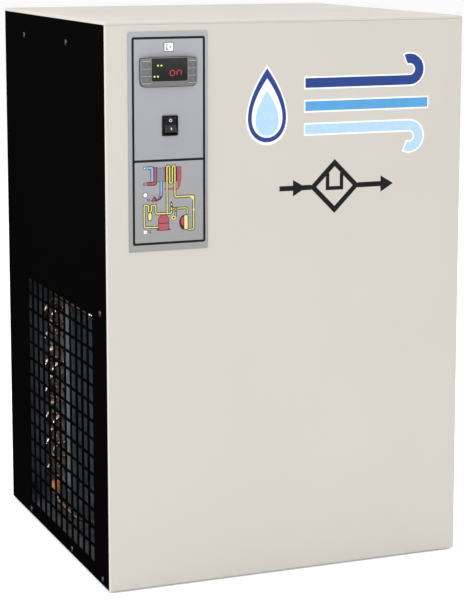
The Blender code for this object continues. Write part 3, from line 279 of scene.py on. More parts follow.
def add_loft(bm, rings, tone=0, closed=False):
    """Skins rings of equal point counts (or single points), and caps the two ends unless the loft is closed."""
    made = [[bm.verts.new(p) for p in ring] for ring in rings]
    pairs = list(zip(made, made[1:]))
    if closed:
        pairs.append((made[-1], made[0]))
    for near, far in pairs:
        count = max(len(near), len(far))
        for k in range(count):
            m = (k + 1) % count
            corners = (near[k % len(near)], near[m % len(near)], far[m % len(far)], far[k % len(far)])
            face(bm, list(dict.fromkeys(corners)), tone)
    if not closed:
        for end in (made[0], made[-1]):
            if len(end) > 2:
                face(bm, end, tone)
    return [v for ring in made for v in ring]


def place_on(axis, point, along):
    """A point of a section that stands across the axis, at a distance along it."""
    spot = list(point)
    spot.insert("XYZ".index(axis), along)
    return Vector(spot)


def add_prism(bm, outline, axis, low, high, tone=0):
    return add_loft(bm, [[place_on(axis, p, at) for p in outline] for at in (low, high)], tone)


def add_box(bm, low, high, tone=0, radius=0, segments=2):
    outline = ((low[0], low[1]), (high[0], low[1]), (high[0], high[1]), (low[0], high[1]))
    verts = add_prism(bm, outline, "Z", low[2], high[2], tone)
    if radius:
        edges = list(dict.fromkeys(e for v in verts for e in v.link_edges))
        made = bmesh.ops.bevel(bm, geom=edges, offset=radius, segments=segments, profile=0.5, affect="EDGES")
        for f in made["faces"]:
            f.material_index = tone


def full_turn(sides):
    return [2 * pi * k / sides for k in range(sides)]


AXES = {"X": ((1, 0, 0), (0, 1, 0)), "Y": ((0, 1, 0), (0, 0, 1)), "Z": ((0, 0, 1), (1, 0, 0))}


def add_turned(bm, profile, origin, axis, sides, tone=0, closed=False):
    """Turns a profile of (radius, distance along the axis), in millimetres from the origin."""
    along, across = (Vector(way) for way in AXES[axis])
    third = along.cross(across)
    rings = []
    for radius, height in profile:
        centre = Vector(origin) + along * height * MM
        around = full_turn(sides) if radius else ()
        ring = [centre + radius * MM * (across * cos(t) + third * sin(t)) for t in around]
        rings.append(ring or [centre])
    add_loft(bm, rings, tone, closed)


def add_sweep(bm, points, radius, sides, tone=0, closed=False):
    """Sweeps a circle along a path."""
    points = [Vector(p) for p in points]
    count = len(points)
    side = (points[1] - points[0]).orthogonal().normalized()
    rings = []
    for i, point in enumerate(points):
        before = points[i - 1] if closed or i else point
        after = points[(i + 1) % count] if closed or i < count - 1 else point
        tangent = (after - before).normalized()
        side = (side - tangent * side.dot(tangent)).normalized()
        up = tangent.cross(side)
        rings.append([point + radius * (side * cos(t) + up * sin(t)) for t in full_turn(sides)])
    add_loft(bm, rings, tone, closed)


def bent(corners, radius, steps=8):
    """The path through the corners, with each inner corner rounded."""
    corners = [Vector(c) for c in corners]
    path = [corners[0]]
    for before, corner, after in zip(corners, corners[1:], corners[2:]):
        back = (before - corner).normalized()
        ahead = (after - corner).normalized()
        half = back.angle(ahead) / 2
        reach = radius / tan(half)
        centre = corner + (back + ahead).normalized() * (radius / sin(half))
        start = corner + back * reach - centre
        end = corner + ahead * reach - centre
        turn = start.angle(end)
        for k in range(steps + 1):
            share = k / steps
            spot = start * sin(turn * (1 - share)) + end * sin(turn * share)
            path.append(centre + spot / sin(turn))
    return path + [corners[-1]]


def arc(centre, radius, start, end, steps):
    turns = [radians(start + (end - start) * k / steps) for k in range(steps + 1)]
    return [(centre[0] + radius * cos(t), centre[1] + radius * sin(t)) for t in turns]


def rounded(centre, size, radius, steps=5):
    """A rounded rectangle's outline; the radius may be one number, or one for each corner."""
    radii = radius if isinstance(radius, (tuple, list)) else (radius,) * 4
    points = []
    for turn, ((u, v), r) in enumerate(zip(((1, 1), (-1, 1), (-1, -1), (1, -1)), radii)):
        corner = (centre[0] + u * (size[0] / 2 - r), centre[1] + v * (size[1] / 2 - r))
        points += arc(corner, r, 90 * turn, 90 * turn + 90, steps)
    return points


def insets(axis, centre, size, radii, steps, levels, least=0):
    """A ring of a rounded rectangle for each (inset, distance along the axis)."""
    rings = []
    for inset, at in levels:
        outline = rounded(centre, [s - 2 * inset for s in size], [max(r - inset, least) for r in radii], steps)
        rings.append([place_on(axis, p, at) for p in outline])
    return rings


def make_object(name, bm, looks):
    """Turns a bmesh into a linked object with its materials."""
    bmesh.ops.recalc_face_normals(bm, faces=bm.faces)
    mesh = bpy.data.meshes.new(name)
    bm.to_mesh(mesh)
    bm.free()
    for look in looks:
        mesh.materials.append(LOOKS[look])
    return link_object(name, mesh)


def link_object(name, data):
    made = bpy.data.objects.new(name, data)
    bpy.context.scene.collection.objects.link(made)
    return made


def piece(name, bm, looks, stands_for=None, body="root", angle=SHARP):
    """Makes the piece, smooth except at its sharp edges, and rides it on its body."""
    made = make_object(name, bm, looks)
    made.data.shade_smooth()
    made.data.set_sharp_from_angle(angle=radians(angle))
    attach(made, body)
    if stands_for:
        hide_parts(stands_for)
    return made


def turned_piece(name, profile, origin, axis, sides, look, stands_for=None, angle=SHARP):
    bm = bmesh.new()
    add_turned(bm, profile, origin, axis, sides)
    piece(name, bm, [look], stands_for, angle=angle)


def cut(made, cutter):
    """Cuts a bmesh out of a piece, and keeps the result as its mesh."""
    tool = make_object("cutter", cutter, ())
    step = made.modifiers.new("cut", "BOOLEAN")
    step.operation = "DIFFERENCE"
    step.solver = "EXACT"
    step.object = tool
    result = bpy.data.meshes.new_from_object(made.evaluated_get(bpy.context.evaluated_depsgraph_get()))
    made.modifiers.remove(step)
    old = made.data
    made.data = result
    result.name = made.name
    bpy.data.meshes.remove(old)
    bpy.data.objects.remove(tool)
    made.data.set_sharp_from_angle(angle=radians(SHARP))


# ---------------------------------------------------------------- cabinet

FAN_X, FAN_Z = -0.065, 0.2255
PORTS = {name: middle(name).xz for name in ("air_inlet_pipe", "air_outlet_pipe")}
DRAIN = (middle("drain_outlet_fitting").x, 0.49)
GLAND = (0.235, 0.1)


def panel_plan(outer_y, inward):
    """Plan of the front or rear panel, with its rounded folds and inner flanges."""
    reach = FRONT_HIGH.y - FRONT_LOW.y
    land = 0.0037
    out = SIDE_X - 0.002
    half = [(SIDE_X - FOLD + x, FOLD + y) for x, y in arc((0, 0), FOLD, -90, 0, 8)]
    half += [(SIDE_X, land), (out, land), (out, reach), (out - SHEET, reach), (out - SHEET, SHEET)]
    half = [(x, outer_y + inward * y) for x, y in half]
    return half + [(-x, y) for x, y in reversed(half)]


def folded_panel(name, outer_y, inward, low, high, node, holes):
    """A painted panel whose inner faces take a darker slate grey in place of the beige coat: partly a thin primer tone,
    partly painted shade for the cabinet's interior.
    """
    bm = bmesh.new()
    add_prism(bm, panel_plan(outer_y, inward), "Z", low.z, high.z)
    made = piece(name, bm, ["beige", "inside_primer_shade"], node)
    cut(made, holes)
    for f in made.data.polygons:
        behind = abs(f.center.y - outer_y) > 0.0012 and f.normal.y * inward > 0.5
        within = abs(f.normal.x) > 0.5 and f.normal.x * f.center.x < 0 and abs(f.center.x) > SIDE_X - 0.006
        if behind or within:
            f.material_index = 1


def control_openings():
    """The controller's and the switch's openings in the plate and the sheet behind it."""
    bm = bmesh.new()
    for x, z, wide, tall in ((HOUSING_X, CASE_Z, CASE_WIDE, CASE_TALL), (SWITCH_X, SWITCH_Z, 0.022, 0.0284)):
        u, v = wide / 2 + GAP, tall / 2 + GAP
        add_box(bm, (x - u, FRONT_Y - REACH, z - v), (x + u, FRONT_Y + REACH, z + v))
    return bm


def rear_openings():
    bm = bmesh.new()
    for row in range(10):
        z = FAN_Z + (row - 4.5) * 0.026
        for side in (-1, 1):
            outline = rounded((FAN_X + side * 0.069, z), (0.126, 0.014), 0.0035, 5)
            add_prism(bm, outline, "Y", REAR_Y - REACH, REAR_Y + REACH)
    for (x, z), r, sides in [(place, 34.5, 64) for place in PORTS.values()] + [(DRAIN, 8.5, 32), (GLAND, 8.3, 32)]:
        add_turned(bm, ((0, -10), (r, -10), (r, 10), (0, 10)), (x, REAR_Y, z), "Y", sides)
    return bm


def top_cover():
    """A shallow folded lid with soft edges, open below."""
    centre = ((COVER_LOW + COVER_HIGH) / 2).xy
    base, top, soft = COVER_LOW.z, COVER_HIGH.z, 0.0027
    levels = [(SHEET, top - SHEET - GAP), (SHEET, base), (0, base)]
    for k in range(9):
        turn = radians(90 * k / 8)
        levels.append((soft * (1 - cos(turn)), top - soft * (1 - sin(turn))))
    bm = bmesh.new()
    add_loft(bm, insets("Z", centre, (COVER_HIGH - COVER_LOW).xy, [FOLD] * 4, 8, levels, 0.0003))
    piece("top_lid", bm, ["beige"], "top_cover")


def screw_mesh():
    """A domed head with a cross recess, facing -X at the origin."""
    turns = [radians(t) for t in (15, 30, 45, 60, 72, 82)]
    head = [(0, -1.7)] + [(4.8 * sin(t), -1.7 * cos(t) ** 0.8) for t in turns]
    head += [(4.8, -0.1), (4.8, 0), (2, 0), (2, 6.5), (0, 7)]
    bm = bmesh.new()
    add_turned(bm, head, (0, 0, 0), "X", 32)
    made = make_object("panel_screw", bm, ["screw"])
    made.data.shade_smooth()
    cross = bmesh.new()
    long, short = 0.0024, 0.00045
    outline = [(short, long), (-short, long), (-short, short)]
    for _ in range(3):
        outline += [(-v, u) for u, v in outline[-3:]]
    add_prism(cross, outline, "X", -0.003, -0.0006)
    cut(made, cross)
    mesh = made.data
    bpy.data.objects.remove(made)
    return mesh


def add_screw(mesh, name, place, aim, turn, stands_for=None):
    made = link_object(name, mesh)
    made.matrix_world = Matrix.Translation(place) @ Matrix.Rotation(aim, 4, "Z") @ Matrix.Rotation(turn, 4, "X")
    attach(made, "root")
    if stands_for:
        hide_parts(stands_for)


def screws():
    mesh = screw_mesh()
    for number in range(1, 7):
        node = f"side_screw_{number}"
        _, y, z = middle(node)
        add_screw(mesh, f"left_screw_{number}", (-SIDE_X - GAP, y, z), 0, 0.4 * number, node)
        add_screw(mesh, f"right_screw_{number}", (SIDE_X - GAP, y, z), pi, 0.7 * number)
    rear = [(x, z) for z in (0.014, 0.44, 0.86) for x in (-0.27, 0, 0.27)]
    for number, (x, z) in enumerate(rear, 1):
        add_screw(mesh, f"rear_screw_{number}", (x, REAR_Y, z), -pi / 2, 0.5 * number)


def feet():
    for name in ("foot_front_left", "foot_front_right", "foot_rear_left", "foot_rear_right"):
        low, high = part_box(name)
        r, top = (high.x - low.x) / 2 / MM, high.z / MM
        skin = ((3, 0), (1, 0.6), (0, 2.2), (0.6, 5), (1.6, 5.6), (0.8, 6.4), (1.2, 10), (2.2, 10.6), (1.4, 11.4),
                (2, 16), (3.4, top - 1), (4.6, top))
        profile = [(0, 0)] + [(r - inset, z) for inset, z in skin] + [(0, top)]
        x, y, _ = middle(name)
        turned_piece(f"rubber_{name}", profile, (x, y, 0), "Z", 48, "rubber", name)


# ---------------------------------------------------------------- printed graphics

PRINT_LEFT = -0.2575
PRINT_TOP = 0.8564
PIPE_RIM = 1.25
LAYER = 0.00004  # from one printed level to the next
STAGGER = 0.000002  # between shapes of one level
SUNK = 0.00008  # how far a printed shape goes into its surface
YELLOW = ("yellow", "olive")
RED = ("red", "crimson")
SKY = ("sky", "slate")


def on_plate(u, v):
    """Millimetres right of and below the printed border's outer corner, as (x, z)."""
    return (PRINT_LEFT + u * MM, PRINT_TOP - v * MM)


def from_origin(u, v):
    return (u * MM, v * MM)


class Print:
    """Flat printed shapes, each a thin closed layer on a surface that faces -Y."""

    def __init__(self, surface, looks, place=from_origin, bm=None):
        self.bm = bm or bmesh.new()
        self.surface = surface
        self.looks = looks
        self.place = place
        self.made = 0

    def depth(self, level):
        """Each shape gets a depth of its own, so that shapes of one level never share a plane."""
        self.made += 1
        return self.surface - LAYER * (level + 1) - STAGGER * (self.made % 19)

    def patch(self, outline, look, level):
        points = [self.place(*p) for p in outline]
        add_prism(self.bm, points, "Y", self.depth(level), self.surface + SUNK, self.looks.index(look))

    def stroke(self, corners, width, look, level, radius=0, closed=False):
        """A line of even width; radius rounds its inner corners."""
        path = [Vector((*p, 0)) for p in corners]
        if radius:
            path = bent(path, radius, 6)
        count = len(path)
        rings = []
        front, back = self.depth(level), self.surface + SUNK
        for i, here in enumerate(path):
            before = path[i - 1] if closed or i else here - (path[1] - here)
            after = path[(i + 1) % count] if closed or i < count - 1 else here + (here - path[i - 1])
            first = (here - before).normalized()
            second = (after - here).normalized()
            normal = Vector((-first.y, first.x, 0))
            mitre = (normal + Vector((-second.y, second.x, 0))).normalized()
            reach = mitre * (width / 2 / max(mitre.dot(normal), 0.5))
            left, right = (self.place(*(here + way * reach).xy) for way in (1, -1))
            rings.append([place_on("Y", p, y) for p, y in ((left, front), (right, front), (right, back), (left, back))])
        add_loft(self.bm, rings, self.looks.index(look), closed)

    def tube(self, corners, width, inks, level, radius):
        """A pipe: a stroke with a darker stroke under it."""
        self.stroke(corners, width + 2 * PIPE_RIM, inks[1], level, radius)
        self.stroke(corners, width, inks[0], level + 1, radius)

    def shape(self, outline, inks, level, rim=1.1):
        """A filled shape with an outline round it."""
        self.patch(outline, inks[0], level + 1)
        self.stroke(outline, rim, inks[1], level + 2, closed=True)

    def block(self, centre, size, radius, look, level):
        self.patch(rounded(centre, size, radius, 3), look, level)

    def disc(self, centre, radius, look, level):
        self.patch(arc(centre, radius, 0, 360 - 360 / 28, 27), look, level)

    def ring(self, centre, radius, width, look, level, sides=32):
        self.stroke(arc(centre, radius, 0, 360 - 360 / sides, sides - 1), width, look, level, closed=True)

    def finish(self, name, kind="_ink"):
        piece(name, self.bm, [look + kind for look in self.looks])


def capsule(centre, width, height):
    u, v = centre
    r = width / 2
    straight = height / 2 - r
    return arc((u, v + straight), r, 0, 180, 8) + arc((u, v - straight), r, 180, 360, 8)


def plate_print():
    """The overlay's border, divider, icon and flow diagram."""
    p = Print(PLATE_Y, ["black", "white", "grey", "yellow", "gold", "olive", "red", "crimson", "sky", "violet", "slate",
                        "steel_blue"], on_plate)
    line = 3.6
    wide, tall = 117.1, 314.4
    p.stroke(rounded((wide / 2, tall / 2), (wide - line, tall - line), 1.6, 4), line, "black", 0, closed=True)
    p.stroke([(line / 2, 186.4), (wide - line / 2, 186.4)], line, "black", 1)
    p.shape(rounded((59, 15.5), (15.6, 13.8), 2.2, 5), ("white", "grey"), 0, 1.5)
    p.stroke([(55.9, 11.2), (55.9, 18.6)], 0.9, "black", 4)
    p.disc((55.9, 19), 1.2, "black", 5)
    for turn in (0, 60, 120):
        u, v = 1.7 * cos(radians(turn)), 1.7 * sin(radians(turn))
        p.stroke([(61.4 - u, 15.4 - v), (61.4 + u, 15.4 + v)], 0.5, "grey", 4 + turn // 60)
    air_side(p)
    refrigerant_side(p)
    p.finish("overlay_graphics")


def air_side(p):
    """Air in, heat exchanger, evaporator, separator and drain."""
    p.tube([(22.6, 197), (31.4, 197), (31.4, 218.2)], 3.2, SKY, 0, 1.8)
    for end in ((19.2, 197), (18.6, 221), (25.6, 245.6)):
        p.ring(end, 1.8, 1, "slate", 0)
    p.disc((19.2, 197), 1.1, "white", 1)
    p.tube([(36.2, 195.6), (36.2, 221), (22.2, 221)], 3.4, RED, 2, 1.8)
    p.block((44.6, 208.2), (13, 21), 0.5, "steel_blue", 0)
    p.stroke([(37, 197.6), (52, 197.6)], 0.7, "slate", 2)
    p.stroke([(38.6, 218.6), (52, 218.6)], 0.7, "slate", 2)
    p.block((51, 207.6), (2, 21.6), 0.5, "red", 2)
    p.block((61.2, 207.6), (19.4, 23.6), 0.8, "crimson", 0)
    p.block((61.4, 207.4), (14.4, 22.4), 0.8, "gold", 1)
    p.shape(rounded((74.6, 208), (6.6, 23.6), 2.4, 5), RED, 2, 0.5)
    p.patch([(71.8, 219), (77.2, 219), (76.6, 225.4), (73.4, 231.8), (71.8, 230.6)], "red", 4)
    p.stroke([(50.6, 229.6), (72.6, 230.6)], 2.6, "red", 0)
    p.tube([(45.8, 217.6), (45.8, 236)], 2.6, SKY, 2, 0)
    p.tube([(45.8, 234.4), (45.2, 240.6), (41.6, 245)], 2.6, ("violet", "slate"), 4, 1.4)
    p.shape([(34.4, 240.6), (39.2, 247.6), (29.8, 247.6)], RED, 0)
    p.stroke([(45.2, 240.2), (42.6, 245.2), (38.2, 246.6), (35.6, 242.4)], 2, "crimson", 5)
    p.ring((20.2, 238), 3.8, 1.6, "grey", 2)
    p.disc((20.2, 238), 3.3, "white", 1)
    p.stroke([(24.8, 238.4), (41.4, 238.4)], 0.45, "grey", 0)


def refrigerant_side(p):
    """Compressor, condenser, drier, bypass and evaporator, joined by yellow pipes."""
    pipe = 1.6
    p.tube([(55, 267.2), (55, 195.2), (59.4, 195.2), (59.4, 221.4), (63.7, 221.4), (63.7, 195.2), (67.8, 195.2),
            (67.8, 242.6), (98.1, 242.6), (98.1, 293.8), (88.6, 293.8)], pipe, YELLOW, 4, 1.95)
    p.patch([(92, 243.4), (97.6, 243.4), (97.6, 249.2)], "yellow", 6)
    p.disc((98.1, 263.6), 1.7, "yellow", 6)
    p.tube([(40.8, 287.8), (18.2, 287.8), (18.2, 253.2), (25.2, 253.2), (25.2, 262), (27.2, 265.4)],
           pipe, YELLOW, 0, 2.6)
    p.tube([(27.6, 265.4), (29.8, 261), (29.8, 253.8), (36.8, 253.8), (36.8, 267.4), (62.2, 267.4), (62.2, 262.4)],
           pipe, YELLOW, 2, 2.2)
    p.shape(capsule((27.3, 270.9), 6.2, 12.4), YELLOW, 4)
    p.shape(rounded((62.2, 260.6), (2.8, 5.4), 0.6, 3), YELLOW, 4)
    p.shape(rounded((62.2, 254), (2.4, 4.6), 0.6, 3), YELLOW, 4)
    p.stroke([(60.4, 257), (64, 257)], 0.9, "black", 8)
    p.disc((62.2, 250.6), 1, "black", 4)
    p.tube([(64.6, 260.4), (87.6, 260.4), (87.6, 271.2)], pipe - 0.3, YELLOW, 0, 2.4)
    p.shape([(66.8, 260.6), (70.8, 260.6), (68.8, 265)], YELLOW, 3)
    p.tube([(69, 264), (69, 274)], 0.9, YELLOW, 0, 0)
    p.ring((65.4, 274.6), 2.7, 1.8, "yellow", 4)
    p.ring((65.4, 274.6), 3.7, 0.45, "olive", 5)
    p.disc((65.4, 274.6), 1.3, "black", 4)
    dome = arc((49.2, 277.4), 8.5, 180, 360, 14)
    p.shape([(40.7, 291.6)] + dome + [(57.7, 291.6), (54.2, 293.2), (44.2, 293.2)], RED, 2, 0.7)
    p.stroke([(40.9, 282.2), (57.5, 282.2)], 0.9, "crimson", 6)
    for side in (-1, 1):
        p.block((49.2 + side * 8.9, 292), (4.2, 1.9), 0.5, "black", 6)
    p.shape(rounded((85.4, 282.4), (6.4, 22), 0.5, 3), YELLOW, 6)
    fan = [(82, 271.8), (79, 272.6), (76.2, 275.8), (75, 280), (75, 284.6), (76.2, 289.2), (79, 292.6), (82, 293.6)]
    p.shape(fan, ("crimson", "black"), 2, 0.5)
    p.patch([(81.4, 273.4), (79.4, 274.6), (77.6, 278), (77.2, 282), (78.6, 286), (81.4, 288)], "red", 6)
    for v in (273.6, 276.4, 283, 289):
        p.stroke([(91.2, v), (93.4, v + 0.8)], 0.6, "grey", 0)
    p.block((19.9, 294.4), (4.6, 4.4), 0.4, "white", 0)
    p.disc((19.9, 294.4), 0.7, "grey", 1)
    p.stroke([(24, 292.6), (28.8, 292.6), (28, 296), (25.6, 294)], 0.8, "crimson", 0)


def front_emblem():
    """A plain droplet with three air streams, and below it a plain dryer symbol on a flow line."""
    p = Print(FRONT_Y, ["white", "navy", "blue", "ice", "black"])
    drops = ((1, 0, "white"), (0.92, 0, "navy"), (0.74, 3, "white"), (0.56, 10, "ice"))
    for level, (scale, drop, look) in enumerate(drops):
        outline = [(-38 + scale * 45 * sin(t) * sin(t / 2), 742 - drop + scale * (6 + 62 * cos(t)))
                   for t in full_turn(48)]
        p.patch(outline, look, level)
    streams = (("navy", 780, 206, 17, 1), ("blue", 744, 240, 0, 1), ("ice", 708, 206, 17, -1))
    for look, z, x, curl, up in streams:
        line = [(24, z), (x, z)]
        line += [(x + curl * sin(t), z + up * curl * (1 - cos(t)))
                 for t in (radians(15 * k) for k in range(1, 15 if curl else 1))]
        first, last = Vector(line[-2]), Vector(line[-1])
        tip = last - (last - first).normalized() * 2.2
        p.stroke(line, 20, "white", 0)
        p.stroke([(line[0][0] + 2.2, z)] + line[1:-1] + [tuple(tip)], 15, look, 1)
    u, v, half = 77, 617, 37
    p.stroke([(u - half, v), (u, v + half), (u + half, v), (u, v - half)], 8, "black", 0, closed=True)
    p.stroke([(u - 12, v + 21), (u - 12, v - 3), (u + 12, v - 3), (u + 12, v + 21)], 6, "black", 1)
    for side in (-1, 1):
        p.stroke([(u + side * (half + 3), v), (u + side * 94, v)], 8, "black", 1 + side)
    for tip in (u - half - 12, u + 102):
        p.patch([(tip, v), (tip - 22, v + 13), (tip - 22, v - 13)], "black", 1)
    p.finish("front_emblem")


# ---------------------------------------------------------------- controls

WING_START = WINDOW_HIGH.x - HOUSING_X + 0.0005
WING_DROP = 0.0022
CLIP_Y = PLATE_Y - GAP
PLATE_MIDDLE = middle("control_plate").xz
WINDOW_MIDDLE = (HOUSING_X, (WINDOW_LOW.z + WINDOW_HIGH.z) / 2)
WINDOW_SIZE = (WINDOW_HIGH - WINDOW_LOW).xz
KEY_NAMES = [f"{side}_{row}" for side in ("left", "right") for row in (1, 2, 3)]
ROCKER_TILT = radians(11)
VALLEY = 0.0036  # how far the rocker's valley stands proud of its axis
SOFT = 0.0011  # the valley's rounding


def control_plate():
    levels = [(0, PLATE_HIGH.y), (0, PLATE_LOW.y + 0.0002), (0.0002, PLATE_LOW.y)]
    bm = bmesh.new()
    add_loft(bm, insets("Y", PLATE_MIDDLE, (PLATE_HIGH - PLATE_LOW).xz, [0.002] * 4, 6, levels))
    cut(piece("control_overlay", bm, ["overlay"], "control_plate"), control_openings())


def wing_depth(x):
    """How far the wings fall back behind the controller's face."""
    beyond = max(abs(x - HOUSING_X) - WING_START, 0)
    return WING_DROP * (beyond / (HALF_WIDE - WING_START)) ** 2


def controller_section(stop):
    """The body's section at a share of its half width: flat face, sloped lower lip, and ends that fall back."""
    u = stop * HALF_WIDE

    def drop(corner):
        beyond = max(abs(u) - (HALF_WIDE - corner), 0)
        return corner - sqrt(max(corner * corner - beyond * beyond, 0))

    def turns(*degrees):
        return [radians(d) for d in degrees]

    wing = min(max(abs(stop) - 0.64, 0) / 0.36, 1)
    top = HALF_TALL - drop(0.0026) - 0.0016 * sqrt(wing)
    base = -HALF_TALL + drop(0.0068) + 0.0014 * wing * wing
    end = max(abs(stop) - 0.965, 0) / 0.035
    y = HOUSING_LOW.y + wing_depth(HOUSING_X + u) + 0.0006 * end * end
    room = CLIP_Y - y - 0.0004
    lip = min(0.002, room * 0.4)
    turn = min(0.0026, room - lip)
    section = [(CLIP_Y, base), (y + lip + turn, base)]
    section += [(y + lip + turn * (1 - sin(t)), base + turn * 0.6 * (1 - cos(t)))
                for t in turns(22, 45, 67, 90)]
    section += [(y + 0.25 * lip, base + 0.005), (y, base + 0.0064)]
    section += [(y + 0.0008 * (1 - cos(t)), top - 0.0008 * (1 - sin(t))) for t in turns(0, 30, 60, 90)]
    section += [(CLIP_Y, top)]
    return [Vector((HOUSING_X + u, py, HOUSING_Z + pz)) for py, pz in section]


def controller():
    """A winged body on a thin black rubber seal that also paints in the dark shadow line round it, with pockets for its
    window and keys, and its case behind the panel.
    """
    stops = [-1, -0.992, -0.975, -0.955, -0.93, -0.9, -0.87, -0.84, -0.8, -0.75, -0.7, -0.655, -0.64]
    rings = [controller_section(stop) for stop in stops + [-s for s in reversed(stops)]]
    bm = bmesh.new()
    add_loft(bm, rings)
    made = piece("controller_body", bm, ["grey"], "controller_housing")
    pockets = bmesh.new()
    front = HOUSING_LOW.y - REACH
    window = rounded(WINDOW_MIDDLE, [s + 2 * GAP for s in WINDOW_SIZE], (0.0012, 0.0012, 0.0026, 0.0026), 5)
    add_prism(pockets, window, "Y", front, WINDOW_HIGH.y + GAP)
    for name in KEY_NAMES:
        low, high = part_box(f"controller_key_{name}")
        outline = rounded(((low + high) / 2).xz, [s + 2 * GAP for s in (high - low).xz], 0.0012, 4)
        add_prism(pockets, outline, "Y", front, high.y + 0.001)
    cut(made, pockets)
    # Black rubber seal grown 0.6 to 0.7 mm past the body's outline: partly a real seal, partly a painted shadow line
    # under and beside the body.
    gasket_shadow_line = bmesh.new()
    outline = [(r[0].x, r[0].z) for r in rings] + [(r[-1].x, r[-1].z) for r in reversed(rings)]
    outline = [(x + copysign(0.0006, x - HOUSING_X), z + copysign(0.0007, z - HOUSING_Z)) for x, z in outline]
    add_prism(gasket_shadow_line, outline, "Y", CLIP_Y - 0.0009, CLIP_Y + 0.0002)
    piece("controller_gasket_shadow_line", gasket_shadow_line, ["rubber"])
    rear = bmesh.new()
    back = HOUSING_HIGH.y
    u, v = CASE_WIDE / 2, CASE_TALL / 2
    add_box(rear, (HOUSING_X - u, CLIP_Y - 0.0005, CASE_Z - v), (HOUSING_X + u, back, CASE_Z + v), 0, 0.0012, 3)
    for k in range(9):
        x = HOUSING_X - 0.028 + k * 0.007
        add_box(rear, (x - 0.0022, back - 0.006, CASE_Z - 0.0152), (x + 0.0022, back - 0.001, CASE_Z - 0.014))
    piece("controller_case", rear, ["grey"])


def wing_lines():
    """Fine pale lines that part the keys on each wing."""
    bm = bmesh.new()
    tops, bases = ([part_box(f"controller_key_left_{row}")[end].z for row in (1, 2, 3)] for end in (1, 0))
    rows = [(bases[k] + tops[k + 1]) / 2 for k in (0, 1)]
    for side in (-1, 1):
        for z in [rows[0] + 0.0109] + rows + [rows[1] - 0.0109]:
            rings = []
            for k in range(8):
                x = HOUSING_X + side * (0.03 + 0.0125 * k / 7)
                y = HOUSING_LOW.y + wing_depth(x)
                rings.append([Vector((x, y + depth, z + rise)) for depth, rise in
                              ((-0.00008, -0.00035), (-0.00008, 0.00035), (0.0003, 0.00035), (0.0003, -0.00035))])
            add_loft(bm, rings)
    piece("controller_lines", bm, ["pale_ink"])


def display():
    """The smoked window, its lamps and two seven-segment characters, with the unlit segments just visible through a
    faint painted glow.
    """
    low, high = WINDOW_LOW.y, WINDOW_HIGH.y
    levels = [(0, high), (0, low + 0.0004), (0.00012, low + 0.00012), (0.0004, low)]
    bm = bmesh.new()
    add_loft(bm, insets("Y", WINDOW_MIDDLE, WINDOW_SIZE, [0.001, 0.001, 0.0024, 0.0024], 5, levels))
    piece("display_lens", bm, ["window"], "display_window")
    p = Print(low, ["lit_green", "green_glow", "lit_red", "unlit_red_faint_glow"])
    for place in ((-218.4, 813.8), (-212.9, 813.8), (-224, 797.4), (-218.5, 797.4)):
        p.disc(place, 2.2, "green_glow", 0)
        p.disc(place, 1.4, "lit_green", 1)
    for left, lit in ((-199.4, "cdeg"), (-188.6, "ceg")):
        seven_segments(p, left, 798.6, lit)
    p.finish("display_characters", "")


def seven_segments(p, left, low, lit):
    """One character, leaning a little to the right."""
    wide, half, bar, end = 7, 7.4, 1.15, 0.5

    def segment(name, u, v, along, across):
        """A bar with pointed ends, from (u, v) along one way, with its thickness across it."""
        length = wide if along[0] else half
        spots = ((end, 0), (end + bar / 2, 1), (length - end - bar / 2, 1), (length - end, 0),
                 (length - end - bar / 2, -1), (end + bar / 2, -1))
        outline = []
        for far, side in spots:
            x = u + far * along[0] + side * bar / 2 * across[0]
            y = v + far * along[1] + side * bar / 2 * across[1]
            outline.append((left + x + 0.09 * y, low + y))
        p.patch(outline, "lit_red" if name in lit else "unlit_red_faint_glow", 0)

    for name, v in (("d", 0), ("g", half), ("a", 2 * half)):
        segment(name, 0, v, (1, 0), (0, 1))
    for name, u, v in (("e", 0, 0), ("c", wide, 0), ("f", 0, half), ("b", wide, half)):
        segment(name, u, v, (0, 1), (1, 0))


def keys():
    """Soft keys that follow the wings, each with a small raised mark."""
    marks = {
        "left_1": [[(-1.6, -0.9), (0, 1.1), (1.6, -0.9)]],
        "left_2": [[(-1.6, 0.9), (0, -1.1), (1.6, 0.9)]],
        "left_3": [[(-1.7, 0), (1.7, 0)]],
        "right_1": [[(-1.5, 0), (1.5, 0)], [(0, -1.5), (0, 1.5)]],
        "right_2": [[(-1.3, -1.3), (1.3, -1.3), (1.3, 1.3), (-1.3, 1.3), (-1.3, -1.3)]],
        "right_3": [[(0, 1.6), (0, -0.3)],
                    [(-1.1, 0.9), (-1.5, -0.2), (-0.7, -1.4), (0.7, -1.4), (1.5, -0.2), (1.1, 0.9)]],
    }
    looks = ["key", "grey_ink"]
    for name, lines in marks.items():
        low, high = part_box(f"controller_key_{name}")
        x0, z0 = centre = ((low + high) / 2).xz
        y = low.y
        shape = (centre, (high - low).xz, [0.001] * 4, 4)
        rings = insets("Y", *shape, [(0, high.y)])
        levels = [(0, y + 0.001), (0.0002, y + 0.0005), (0.0006, y + 0.00012), (0.0012, y)]
        for ring in insets("Y", *shape, levels, 0.0003):
            rings.append([Vector((px, py + wing_depth(px), pz)) for px, py, pz in ring])
        bm = bmesh.new()
        add_loft(bm, rings)
        p = Print(y, looks, lambda u, v: (x0 + u * MM, z0 + v * MM), bm)
        before = set(bm.verts)
        for line in lines:
            p.stroke(line, 0.5, "grey_ink", 0)
        for vert in set(bm.verts) - before:
            vert.co.y += wing_depth(vert.co.x)
        piece(f"key_{name}", bm, looks, f"controller_key_{name}", f"key_{name}")


